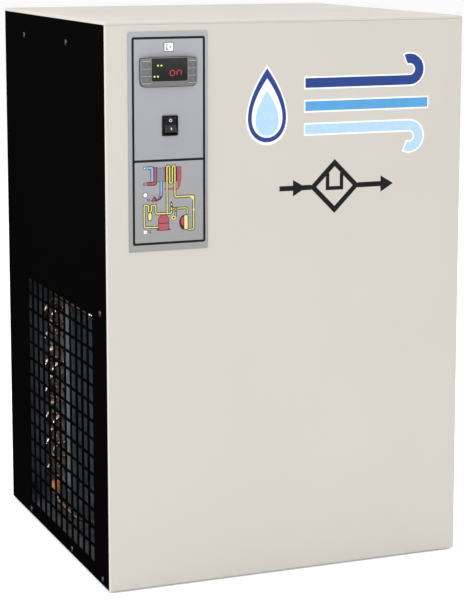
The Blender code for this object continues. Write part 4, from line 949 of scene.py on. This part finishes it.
def switch_bezel():
    """The snap-in body, its flanged bezel and the well that the rocker sits in, as one shell."""
    front, back = SWITCH_LOW.y, SWITCH_HIGH.y
    levels = ((22, 28.4, 1, back), (22, 28.4, 1, CLIP_Y), (25.5, 31, 2, CLIP_Y),
              (25.5, 31, 2, front + 0.0009), (25.1, 30.6, 1.9, front + 0.0003), (24.3, 29.8, 1.7, front),
              (21.2, 27.6, 1.2, front + 0.0001), (20.2, 26.6, 1, front + 0.0008), (20, 26.4, 0.9, front + 0.002),
              (20, 26.4, 0.9, back - 0.008))
    rings = []
    for wide, tall, radius, y in levels:
        outline = rounded((SWITCH_X, SWITCH_Z), (wide * MM, tall * MM), radius * MM, 5)
        rings.append([place_on("Y", p, y) for p in outline])
    bm = bmesh.new()
    add_loft(bm, rings)
    for x in (-0.0063, 0, 0.0063):
        add_box(bm, (SWITCH_X + x - 0.0004, back - 0.0005, SWITCH_Z - 0.0031),
                (SWITCH_X + x + 0.0004, back + 0.008, SWITCH_Z + 0.0031), 1)
    piece("switch_bezel", bm, ["switch", "brass"], "switch_housing")


def rocker_face(z):
    """How far the rocker's two facets stand in front of its axis at a height."""
    return -VALLEY - (sqrt(z * z + SOFT ** 2) - SOFT) * tan(ROCKER_TILT)


def rocker():
    """Two shallow facets that meet in a soft valley, tilted with the upper half pressed, and marked O and I."""
    half_x, half_z, back, edge = 0.0096, 0.0117, 0.006, 0.0009
    heights = [half_z * (1 - k / 14) for k in range(29)]
    front = [(rocker_face(z) + 0.5 * max(abs(z) - half_z + edge, 0) ** 2 / edge, z) for z in heights]
    section = front + [(0, -half_z), (back, -half_z * 0.5), (back, half_z * 0.5), (0, half_z)]
    half = [(-1, 0.0007), (-0.975, 0.00025), (-0.93, 0), (-0.5, -0.00015)]
    rings = []
    for u, inset in half + [(0, -0.0002)] + [(-u, inset) for u, inset in reversed(half)]:
        rings.append([Vector((u * half_x, y + (inset if number < len(front) else 0), z * (1 - max(inset, 0) * 20)))
                      for number, (y, z) in enumerate(section)])
    bm = bmesh.new()
    add_loft(bm, rings)
    looks = ["switch", "white_ink"]
    p = Print(0, looks, bm=bm)
    before = set(bm.verts)
    p.ring((0.4, 7.2), 1.9, 0.8, "white_ink", 0, 28)
    p.stroke([(0.5, -3.6), (1, -7.6)], 1.15, "white_ink", 0)
    for vert in set(bm.verts) - before:
        vert.co.y += rocker_face(vert.co.z) - 0.00022
    place = Matrix.Translation((SWITCH_X, FRONT_Y, SWITCH_Z)) @ Matrix.Rotation(-ROCKER_TILT, 4, "X")
    bmesh.ops.transform(bm, matrix=place, verts=bm.verts)
    piece("switch_rocker", bm, looks, "rocker_actuator", "rocker")


# ---------------------------------------------------------------- condenser and fan

COIL_LOW = Vector((-0.257, 0.0665, 0.061))
COIL_HIGH = Vector((0.127, 0.1325, 0.39))
COIL_SIZE = (COIL_HIGH - COIL_LOW).xz
ROW_Y = (0.0775, 0.0995, 0.1215)
LEG_TOP, LEG_PITCH, LEGS = 0.378, 0.02343, 14
BEND_REACH = 0.0181  # how far the middle line of a return bend goes out from its end plate
TUBE_RADIUS = 0.0049
EVEN, ODD = (tuple((n, n + 1) for n in range(start, 13, 2)) for start in (0, 1))
BENDS_LEFT = {0: ((0, 1), (4, 5), (8, 9), (10, 11)), 1: ODD, 2: EVEN}
BENDS_RIGHT = {0: EVEN, 1: ODD, 2: EVEN}
PIPE_X = -0.272  # the pipes that run up and down beside the condenser
LINE_RADIUS = 0.0055


def leg_height(index):
    return LEG_TOP - index * LEG_PITCH


def fins():
    """Thin corrugated fins, 2.4 mm apart, between the two tube plates."""
    bm = bmesh.new()
    start, end = COIL_LOW.x + 0.003, COIL_HIGH.x - 0.003
    count = int((end - start) / 0.0024)
    waves = 9
    for k in range(count + 1):
        x = start + (end - start) * k / count
        line = [(x + (0.0004 if step % 2 else -0.0004), COIL_LOW.y + (COIL_HIGH.y - COIL_LOW.y) * step / waves)
                for step in range(waves + 1)]
        add_prism(bm, line + [(u + 0.00022, v) for u, v in reversed(line)], "Z", COIL_LOW.z, COIL_HIGH.z)
    piece("condenser_fins", bm, ["fins"], "condenser_fin_pack", angle=20)


def tube_bank():
    """The tubes through the fins, with chamfered ends at the left plate."""
    bm = bmesh.new()
    far = COIL_SIZE.x / MM + 2
    profile = ((0, -2.4), (4, -2.4), (5, -2), (5, far), (0, far))
    for y in ROW_Y:
        for leg in range(LEGS):
            add_turned(bm, profile, (COIL_LOW.x, y, leg_height(leg)), "X", 12)
    piece("condenser_tubes", bm, ["copper"])


def tube_plate(name, x0, x1, outward, bends, node):
    """A folded end plate, and its copper return bends."""
    bm = bmesh.new()
    add_box(bm, (x0, COIL_LOW.y, COIL_LOW.z), (x1, COIL_HIGH.y, COIL_HIGH.z), 0, 0.0004, 2)
    # The fold is the same sheet as the plate but takes the lighter zinc: a painted highlight along the fold.
    fold = (x0, x0 + 0.01) if outward < 0 else (x1 - 0.01, x1)
    add_box(bm, (fold[0], COIL_LOW.y - 0.0012, COIL_LOW.z), (fold[1], COIL_LOW.y, COIL_HIGH.z), 2)
    plate = x0 if outward < 0 else x1
    for row, pairs in bends.items():
        y = ROW_Y[row]
        for high, low in ((leg_height(first), leg_height(second)) for first, second in pairs):
            r = (high - low) / 2
            straight = BEND_REACH - r
            turns = [pi * k / 14 for k in range(15)]
            path = [(-0.003, high), (straight * 0.5, high)]
            path += [(straight + r * sin(t), (high + low) / 2 + r * cos(t)) for t in turns]
            path += [(straight * 0.5, low), (-0.003, low)]
            add_sweep(bm, [(plate + outward * out, y, z) for out, z in path], TUBE_RADIUS, 16, 1)
            collar = [(radius, outward * out) for radius, out in ((4.9, 0.2), (6.2, 0.4), (5.8, 3), (4.9, 3.4))]
            for z in (high, low):
                add_turned(bm, collar, (plate, y, z), "X", 16, 1, closed=True)
    if outward < 0:
        for row, leg, way in ((1, 0, 1), (0, LEGS - 1, -1)):
            z, y = leg_height(leg), ROW_Y[row]
            bend = [(plate + 0.003, y, z), (PIPE_X + 0.01, y, z)]
            for turn in (pi / 2 * k / 8 for k in range(9)):
                bend.append((PIPE_X + 0.008 * (1 - sin(turn)), y, z + way * 0.0055 * (1 - cos(turn))))
            add_sweep(bm, bend, 0.0052, 16, 1)
    piece(name, bm, ["zinc", "copper", "flange_highlight"], node)


def pipes():
    """The refrigerant pipes, each a smooth sweep with brazed collars at its ends."""
    top, low = leg_height(0) + 0.0053, leg_height(13) - 0.0053
    runs = {
        "discharge_line": (0.014, (0.0747, -0.13, 0.12), (0.03, -0.13, 0.12), (0.03, -0.13, 0.405),
                           (PIPE_X, -0.13, 0.405), (PIPE_X, ROW_Y[1], 0.405), (PIPE_X, ROW_Y[1], top)),
        "liquid_line": (0.012, (PIPE_X, ROW_Y[0], low), (PIPE_X, ROW_Y[0], 0.044), (PIPE_X, -0.05, 0.044),
                        (PIPE_X, -0.15, 0.068), (-0.1053, -0.15, 0.068)),
        "suction_line": (0.014, (0.055, -0.1003, 0.5), (0.055, -0.13, 0.5), (0.055, -0.13, 0.2),
                         (0.0747, -0.13, 0.2)),
    }
    for name, (bend, *corners) in runs.items():
        bm = bmesh.new()
        add_sweep(bm, bent(corners, bend, 10), LINE_RADIUS, 20)
        for end, inner in ((corners[0], corners[1]), (corners[-1], corners[-2])):
            end, way = Vector(end), (Vector(inner) - Vector(end)).normalized()
            add_sweep(bm, [end + way * out for out in (0, 0.001, 0.007, 0.0076)], LINE_RADIUS + 0.0008, 20)
        piece(f"{name}_tube", bm, ["copper"], name)
    bm = bmesh.new()
    union = ((5.6, 79), (8.5, 79), (9.8, 78), (9.8, 68), (8.5, 67), (7.8, 66), (7.8, 58), (7, 57), (5.6, 57))
    add_turned(bm, union, (PIPE_X, ROW_Y[0], 0), "Z", 24, closed=True)
    piece("liquid_line_union", bm, ["bronze"])
    bm = bmesh.new()
    add_sweep(bm, bent([(0.2303, 0.05, 0.49), (0.252, 0.05, 0.49), (0.252, 0.2457, 0.49)], 0.016, 10), 0.004, 20)
    piece("drain_hose", bm, ["nylon"], "drain_tube")


def capillary():
    x, y, r = 0.022, -0.04, 0.03
    low, high = 0.15, 0.18
    start = bent([(0.0003, -0.15, 0.068), (x, -0.15, 0.068), (x, -0.1, 0.068), (x, -0.1, low), (x, y - r, low)],
                 0.012, 5)[:-1]
    coil = []
    for k in range(73):
        turn = 2 * pi * 3 * k / 72 - pi / 2
        coil.append((x + r * cos(turn), y + r * sin(turn), low + (high - low) * k / 72))
    side = x + 0.014
    up = bent([coil[-1], (side, y - r - 0.003, high), (side, -0.12, high + 0.02), (side, -0.12, 0.48),
               (side, -0.1003, 0.48)], 0.008, 5)[1:]
    bm = bmesh.new()
    add_sweep(bm, start + coil + up, 0.0015, 10)
    piece("capillary_coil", bm, ["copper"], "capillary_tube", angle=60)


def fan_circle(radius, y):
    """A circle round the fan's axis, with the 64 points that the shroud's rounded rectangles have."""
    turns = [radians(90 * corner + 90 * k / 15 * 0.94 + 2.7) for corner in range(4) for k in range(16)]
    return [Vector((FAN_X + radius * cos(t), y, FAN_Z + radius * sin(t))) for t in turns]


def shroud():
    """A sheet box with a rolled collar."""
    front, back = COIL_HIGH.y + GAP, 0.15
    centre = ((COIL_LOW.x + COIL_HIGH.x) / 2, FAN_Z)
    outer = rounded(centre, COIL_SIZE, 0.003, 15)
    inner = rounded(centre, [s - 0.003 for s in COIL_SIZE], 0.002, 15)
    edge = rounded((FAN_X, FAN_Z), (0.38, 0.325), 0.004, 15)
    box = ((outer, front), (outer, back - 0.002), (edge, back))
    rings = [[place_on("Y", p, y) for p in outline] for outline, y in box]
    rings += [fan_circle(radius * MM, y * MM) for radius, y in
              ((145, 150), (141.2, 152), (140.5, 156), (140.5, 183), (141.8, 185.5), (141.2, 186), (139, 184.5),
               (139, 154), (142.5, 148.5))]
    rings += [[place_on("Y", p, y) for p in inner] for y in (back - 0.0015, front)]
    bm = bmesh.new()
    add_loft(bm, rings, closed=True)
    piece("fan_cowl", bm, ["zinc"], "fan_shroud")


def fan():
    """A finned motor and a wire guard round the rotor."""
    shroud()
    rotor()
    profile = [(0, 160), (3.5, 160), (4, 160.5), (4, 190), (34, 190), (39, 191.5), (41, 195)]
    for y in (198 + k * 5.8 for k in range(7)):
        profile += [(41, y), (38.5, y + 0.6), (38.5, y + 2.4), (41, y + 3)]
    profile += [(41, 240), (38, 243.5), (34, 244), (0, 244)]
    turned_piece("fan_motor_body", profile, (FAN_X, 0, FAN_Z), "Y", 48, "compressor", "fan_motor")
    guard = bmesh.new()
    for r in (0.052 + number * 0.0145 for number in range(7)):
        ring = [(FAN_X + r * cos(t), 0.1882, FAN_Z + r * sin(t)) for t in full_turn(72)]
        add_sweep(guard, ring, 0.0009, 8, closed=True)
    for turn in (radians(45 + 90 * k) for k in range(4)):
        line = [(FAN_X + r * cos(turn), 0.1896, FAN_Z + r * sin(turn)) for r in (0.046, 0.09, 0.1405)]
        add_sweep(guard, line, 0.0013, 8)
        x, _, z = line[-1]
        add_box(guard, (x - 0.005, 0.1858, z - 0.005), (x + 0.005, 0.19, z + 0.005), 0, 0.0008)
    piece("fan_guard", guard, ["fan"])


def rotor():
    """Five twisted blades on a ribbed cup."""
    bm = bmesh.new()
    profile = [(0, -16), (10, -17), (30, -17), (38, -16.2), (42, -14.5), (44, -11), (44, 16), (43, 17), (42, 17),
               (41.5, -9), (12, -9), (11.8, 15), (4.6, 15), (4.6, -9), (0, -9)]
    add_turned(bm, profile, (0, 0, 0), "Y", 60)
    for turn in full_turn(10):
        corners = [(0.0115, -0.0008), (0.042, -0.0008), (0.042, 0.0008), (0.0115, 0.0008)]
        outline = [(a * cos(turn) - b * sin(turn), a * sin(turn) + b * cos(turn)) for a, b in corners]
        add_prism(bm, outline, "Y", -0.0095, 0.013)
    for turn in full_turn(5):
        blade(bm, turn)
    bmesh.ops.translate(bm, vec=(FAN_X, 0.166, FAN_Z), verts=bm.verts)
    piece("fan_blades", bm, ["fan"], "fan_rotor", "fan")


def blade(bm, turn):
    """A pitched, twisted blade with a swept tip and a rounded section."""
    rings = []
    stations = 9
    camber = 0.1
    spots = [k / 10 - 0.5 for k in range(11)]
    for s in range(stations):
        share = s / (stations - 1)
        radius = 0.042 + (0.1315 - 0.042) * share
        pitch = radians(38 - 16 * share)
        chord = 0.052 + 0.028 * sin(pi / 2 * share) - (0.012 if s == stations - 1 else 0)
        thick = 0.0026 - 0.001 * share
        spin = Matrix.Rotation(turn + 0.1 * share * share, 3, "Y")
        ring = []
        for u, way in [(u, 1) for u in spots] + [(u, -1) for u in reversed(spots)]:
            fat = thick * sqrt(max(0.25 - u * u, 0)) + 0.0002
            a, b = u * chord, camber * chord * (0.25 - u * u) + way * fat
            sideways = a * cos(pitch) - b * sin(pitch)
            depth = a * sin(pitch) + b * cos(pitch)
            ring.append(spin @ Vector((sqrt(max(radius * radius - sideways * sideways, 0)), depth * 0.78, sideways)))
        rings.append(ring)
    add_loft(bm, rings)


# ---------------------------------------------------------------- turned parts

REAR = REAR_Y / MM
VALVE = (0.05, 0.49)
STEM_X = 0.158


def thread(radius, depth, start, pitch, count):
    """A saw of thread crests that runs inwards along an axis, as (radius, distance) points."""
    points = []
    for base in (start - k * pitch for k in range(count)):
        points += [(radius, base), (radius + depth, base - pitch * 0.5)]
    return points + [(radius, start - count * pitch)]


def ports():
    """Brass sockets with a chamfered mouth and an inner thread."""
    end = REAR + 28
    for name, (x, z) in PORTS.items():
        profile = [(0, 120.3), (24, 120.3), (24, 242), (26.2, 244.5), (32.5, 248), (33, 249), (33, 277), (32.6, 277.6),
                   (32.6, 278.4), (33, 279), (33, end - 2.2), (32.6, end - 0.8), (31.6, end), (26.2, end),
                   (25, end - 0.6), (23.8, end - 2.2)]
        profile += thread(22.6, 1.1, end - 3, 2.3, 13) + [(22.4, end - 34.5), (22.4, 140), (0, 140)]
        turned_piece(f"{name}_socket", profile, (x, 0, z), "Y", 72, "brass", name, 25)


def hexagon(bm, centre, across, axis, low, high):
    """A nut with chamfered corners."""
    rings = []
    for along, scale in ((low, 0.9), (low + 0.0008, 1), (high - 0.0008, 1), (high, 0.9)):
        rings.append([place_on(axis, p, along) for p in arc(centre, across / sqrt(3) * scale, 30, 330, 5)])
    add_loft(bm, rings)


def fittings():
    """The drain's barbed brass fitting and the empty cable gland."""
    profile = [(0, 246), (10, 246), (11, 247), (11, REAR - 1.8), (8, REAR - 1.8), (8, REAR + 8.5), (6.6, REAR + 9.5)]
    for y in (REAR + 10.5 + k * 4.2 for k in range(4)):
        profile += [(6.6, y), (8, y + 0.6), (6.4, y + 3.8)]
    profile += [(6, REAR + 28), (4.2, REAR + 28), (4, REAR + 27.6), (4, 252), (0, 252)]
    bm = bmesh.new()
    add_turned(bm, profile, (DRAIN[0], 0, DRAIN[1]), "Y", 40)
    hexagon(bm, DRAIN, 0.0205, "Y", REAR_Y + GAP, REAR_Y + 0.0082)
    piece("drain_barb", bm, ["brass"], "drain_outlet_fitting", angle=25)
    profile = [(4.5, -10), (10.8, -10), (11, -9.5), (11, -1.8), (7.8, -1.8), (7.8, 10), (10.4, 10.5), (10.5, 17.5),
               (10.1, 19.8), (9.2, 22), (7.8, 23.6), (6.2, 24), (5.2, 23.2), (4.5, 21.5)]
    bm = bmesh.new()
    add_turned(bm, profile, (GLAND[0], REAR_Y, GLAND[1]), "Y", 48, closed=True)
    hexagon(bm, GLAND, 0.0215, "Y", REAR_Y + GAP, REAR_Y + 0.0098)
    for turn in full_turn(12):
        rib = (GLAND[0] + 0.0103 * cos(turn), GLAND[1] + 0.0103 * sin(turn))
        add_prism(bm, arc(rib, 0.0009, 0, 315, 7), "Y", REAR_Y + 0.0106, REAR_Y + 0.018)
    piece("supply_gland", bm, ["switch"], "cable_gland", angle=25)


def compressor():
    """A welded shell on a pressed mounting plate, with its copper stubs, terminal cover and grommets."""
    x, y = 0.175, -0.12
    profile = [(0, 42), (43, 42), (51.6, 43), (68.8, 49), (79.12, 56), (83.85, 64), (86, 74), (86, 145), (87.5, 145.5),
               (89, 147), (89.4, 149), (89, 151), (87.5, 152.5), (86, 153), (86, 218), (84.71, 228), (81.7, 238),
               (75.68, 249), (65.36, 258), (51.6, 264), (25.8, 267.2), (0, 268)]
    stub = ((0, 75), (6.2, 75), (7, 75.5), (7, 83), (6.4, 84), (6.4, 145), (0, 145))
    bm = bmesh.new()
    add_turned(bm, profile, (x, y, 0), "Z", 72)
    for z in (0.12, 0.2):
        add_turned(bm, stub, (0, -0.13, z), "X", 24, 1)
    add_prism(bm, rounded((x, y), (0.176, 0.148), 0.012, 6), "Z", 0.04, 0.043)
    piece("compressor_shell", bm, ["compressor", "copper"], "compressor")
    front = -0.234
    levels = [(0, y - 0.07), (0, front + 0.004), (0.0012, front + 0.0012), (0.004, front)]
    bm = bmesh.new()
    add_loft(bm, insets("Y", (x, 0.19), (0.052, 0.05), [0.006] * 4, 5, levels, 0.001))
    for side in (x - 0.0265, x + 0.0265):
        add_sweep(bm, [(side, front + 0.01, 0.176), (side, front + 0.01, 0.204)], 0.0012, 8)
    piece("terminal_cap", bm, ["switch"], "compressor_terminal_cover")
    for number in range(1, 5):
        node = f"grommet_{number}"
        low, top = (corner.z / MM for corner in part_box(node))
        profile = [(0, low), (11.5, low), (12.4, low + 0.8), (12.2, low + 4.5), (10.8, low + 5.2), (11.2, low + 6),
                   (10.6, low + 10), (9.6, 39.2), (10, 39.7), (6.4, 39.7), (6.4, 43.3), (9.4, 43.3), (9.6, 44),
                   (8.8, top - 1.2), (8, top), (0, top)]
        centre = (*middle(node).xy, 0)
        turned_piece(f"mount_rubber_{number}", profile, centre, "Z", 32, "rubber", node)


def valves():
    """The filter drier, the hot-gas bypass valve and the drain's two valves."""
    profile = [(0, -105), (5.8, -105), (6.5, -104.4), (6.5, -95), (7.2, -93.2), (10.5, -86.5), (12.2, -83.5),
               (12.5, -81), (12.5, -20), (12, -17.5), (10, -14), (5.2, -7.5), (3.6, -5.5), (3.5, 0), (0, 0)]
    turned_piece("drier_shell", profile, (0, -0.15, 0.068), "X", 40, "copper", "filter_drier")
    profile = [(0, 410.8), (5, 410.8), (5, 495), (8.5, 496), (12, 497.5), (12, 531), (13, 532.5), (18, 536.5),
               (19, 538), (19.2, 540), (18.5, 540.6), (18.5, 542.2), (19.2, 542.8), (19, 553), (17.5, 555),
               (10, 560.5), (9, 562), (9, 580), (8, 582), (0, 582)]
    bm = bmesh.new()
    add_turned(bm, profile, (-0.06, -0.13, 0), "Z", 40)
    add_turned(bm, ((0, -130), (5.5, -130), (5.5, -100.3), (0, -100.3)), (-0.06, 0, 0.514), "Y", 24)
    piece("bypass_regulator", bm, ["brass"], "hot_gas_bypass_valve", angle=25)
    isolation_valve()
    valve_lever()
    solenoid()


def isolation_valve():
    low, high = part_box("drain_isolation_valve")
    length, top = (high.x - low.x) / MM, high.z / MM
    bm = bmesh.new()
    body = [(0, 0), (9.8, 0), (10.5, 1), (10.5, length - 1), (9.8, length), (0, length)]
    add_turned(bm, body, (low.x, *VALVE), "X", 40)
    hexagon(bm, VALVE, 0.0222, "X", low.x + 0.0004, low.x + 0.0125)
    hexagon(bm, VALVE, 0.0222, "X", high.x - 0.0125, high.x - 0.0004)
    stem = [(0, 492), (7.2, 492), (7.2, 503), (6.2, 504), (4.5, 504.5), (4.5, top - 0.4), (4.1, top), (0, top)]
    add_turned(bm, stem, (STEM_X, VALVE[0], 0), "Z", 32)
    piece("ball_valve", bm, ["brass"], "drain_isolation_valve", angle=25)


def valve_lever():
    """A flat vinyl-dipped lever with a waist, and the nut that holds it."""
    low, high = (corner.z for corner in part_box("drain_valve_lever"))
    half = 0.0065

    def grip(inset, z):
        outline = []
        for u, v in arc((0, 0), half - inset, 90, 270, 12) + arc((0.062 - half, 0), half - inset, -90, 90, 12):
            waist = 1 - 0.28 * exp(-((u - 0.016) / 0.008) ** 2)
            outline.append(Vector((STEM_X + u, VALVE[0] + v * waist, z)))
        return outline

    bm = bmesh.new()
    add_loft(bm, [grip(0.0006, low), grip(0, low + 0.0006), grip(0, high - 0.0006), grip(0.0006, high)])
    nut = ((0, -0.2), (3.4, -0.2), (3.4, 1.4), (2.8, 1.9), (0, 1.9))
    add_turned(bm, nut, (STEM_X, VALVE[0], high), "Z", 6, 1)
    piece("valve_handle", bm, ["red", "steel"], "drain_valve_lever", "drain_lever")


def solenoid():
    low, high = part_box("condensate_drain")
    y, z = VALVE
    coil_top = z - 0.0097
    bm = bmesh.new()
    add_box(bm, (low.x, y - 0.014, z - 0.0095), (high.x, y + 0.014, z + 0.014), 0, 0.0012, 3)
    add_box(bm, (low.x + 0.004, y - 0.018, low.z), (high.x - 0.004, y + 0.018, coil_top), 1, 0.0025, 3)
    neck = ((0, -2), (8.5, -2), (8.5, 3.7), (0, 3.7))
    add_turned(bm, neck, ((low.x + high.x) / 2, y, coil_top), "Z", 24)
    add_box(bm, (low.x + 0.01, y - 0.0212, low.z + 0.01), (high.x - 0.01, y - 0.017, low.z + 0.03), 1, 0.001, 2)
    piece("solenoid_drain", bm, ["brass", "switch"], "condensate_drain", angle=25)


def exchanger():
    """The moulded insulation shells, with their two parting grooves."""
    low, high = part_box("heat_exchanger")
    levels = [(0.006, low.z), (0.002, low.z + 0.0012), (0, low.z + 0.005)]
    for groove in (low.z + 0.135, low.z + 0.27):
        levels += [(0, groove - 0.003), (0.002, groove - 0.002), (0.002, groove + 0.002), (0, groove + 0.003)]
    levels += [(0, high.z - 0.005), (0.002, high.z - 0.0012), (0.006, high.z)]
    bm = bmesh.new()
    add_loft(bm, insets("Z", middle("heat_exchanger").xy, (high - low).xy, [0.018] * 4, 8, levels))
    piece("exchanger_shell", bm, ["foam"], "heat_exchanger")


def capacitor():
    low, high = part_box("run_capacitor")
    x, y, _ = middle("run_capacitor")
    r, top = (high.x - low.x) / 2 / MM, (high.z - low.z) / MM
    profile = [(0, 0), (r - 2, 0), (r - 0.6, 0.6), (r, 2), (r, top - 12), (r - 0.8, top - 11.2), (r - 0.8, top - 9.8),
               (r, top - 9), (r, top - 4), (r - 1, top - 1.5), (r - 3, top - 0.8), (r - 4, top - 2), (0, top - 2)]
    bm = bmesh.new()
    add_turned(bm, profile, (x, y, low.z), "Z", 48)
    for tab in (x - 0.006, x + 0.006):
        add_box(bm, (tab - 0.0004, y - 0.003, high.z - 0.003), (tab + 0.0004, y + 0.003, high.z))
    piece("capacitor_can", bm, ["aluminium"], "run_capacitor")


# ---------------------------------------------------------------- carried-over nodes, stage, lights and camera

KEPT = {
    "black": ("left_side_panel", "right_side_panel"),
    "zinc": ("base_pan", "side_frame_left", "side_frame_right", "upper_shelf", "electrical_box", "fan_motor_bracket"),
}


def dress_cad_nodes():
    for look, names in KEPT.items():
        for name in names:
            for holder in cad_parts[name].material_slots:
                holder.material = LOOKS[look]


def stage():
    bm = bmesh.new()
    add_prism(bm, ((-40, -40), (40, -40), (40, 40), (-40, 40)), "Z", -0.02, -0.0004)
    floor = make_object("floor", bm, ["floor"])
    floor.visible_glossy = False


def area_light(name, place, target, size, power):
    data = bpy.data.lights.new(name, "AREA")
    data.shape = "RECTANGLE"
    data.size = data.size_y = size
    data.energy = power
    light = link_object(name, data)
    light.location = place
    light.rotation_euler = (Vector(target) - Vector(place)).to_track_quat("-Z", "Y").to_euler()


def lights():
    """A soft dome that is brightest overhead and dark round the horizon, and large soft boxes."""
    world = bpy.data.worlds.new("studio")
    bpy.context.scene.world = world
    world.use_nodes = True
    tree = world.node_tree
    tree.nodes.clear()
    out, mix, path, seen, dome, where, split, rise = (tree.nodes.new(f"ShaderNode{kind}") for kind in (
        "OutputWorld", "MixShader", "LightPath", "Background", "Background", "TexCoord", "SeparateXYZ", "MapRange"))
    seen.inputs["Strength"].default_value = 1.1
    for shown in (seen, dome):
        shown.inputs["Color"].default_value = (1, 1, 1, 1)
    rise.interpolation_type = "SMOOTHSTEP"
    for key, number in (("From Min", -0.05), ("From Max", 0.6), ("To Min", 0.03), ("To Max", 0.8)):
        rise.inputs[key].default_value = number
    for source, output, target, socket in (
            (where, "Generated", split, "Vector"), (split, "Z", rise, "Value"), (rise, "Result", dome, "Strength"),
            (path, "Is Camera Ray", mix, "Fac"), (dome, "Background", mix, 1), (seen, "Background", mix, 2),
            (mix, "Shader", out, "Surface")):
        tree.links.new(source.outputs[output], target.inputs[socket])
    area_light("key", (-1.5, -3.5, 1.9), (-0.1, -0.2, 0.42), 1, 23)
    area_light("fill", (2.6, -3.4, 2.3), (0, -0.2, 0.45), 2.6, 18)
    area_light("top", (0, -0.4, 6), (0, 0, 0.5), 5, 180)
    area_light("rear", (3.4, 2.2, 1.5), (0.1, 0.1, 0.4), 2, 60)
    area_light("left", (-3.4, 0, 1.3), (-0.3, 0, 0.3), 2.4, 62)


def camera():
    data = bpy.data.cameras.new("camera")
    data.sensor_width = 36
    data.lens = 116.31
    data.shift_y = -0.13
    data.clip_end = 200
    made = link_object("camera", data)
    made.location = (-1.1888, -3.0307, 1.016)
    made.rotation_euler = (radians(90 - 8.604), 0, radians(-21.741))
    bpy.context.scene.camera = made


def build():
    bpy.context.scene.view_settings.view_transform = "Standard"
    folded_panel("front_sheet", FRONT_Y, 1, FRONT_LOW, FRONT_HIGH, "front_panel", control_openings())
    folded_panel("rear_sheet", REAR_Y, -1, REAR_LOW, REAR_HIGH, "rear_panel", rear_openings())
    for make in (top_cover, screws, feet, control_plate, plate_print, front_emblem, controller, wing_lines, display,
                 keys, switch_bezel, rocker, fins, tube_bank):
        make()
    left, right = COIL_LOW.x, COIL_HIGH.x
    tube_plate("left_end_plate", left, left + 0.0018, -1, BENDS_LEFT, "condenser_tube_plate_left")
    tube_plate("right_end_plate", right - 0.0018, right, 1, BENDS_RIGHT, "condenser_tube_plate_right")
    for make in (pipes, capillary, fan, ports, fittings, compressor, valves, exchanger, capacitor, dress_cad_nodes,
                 stage, lights, camera):
        make()


build()
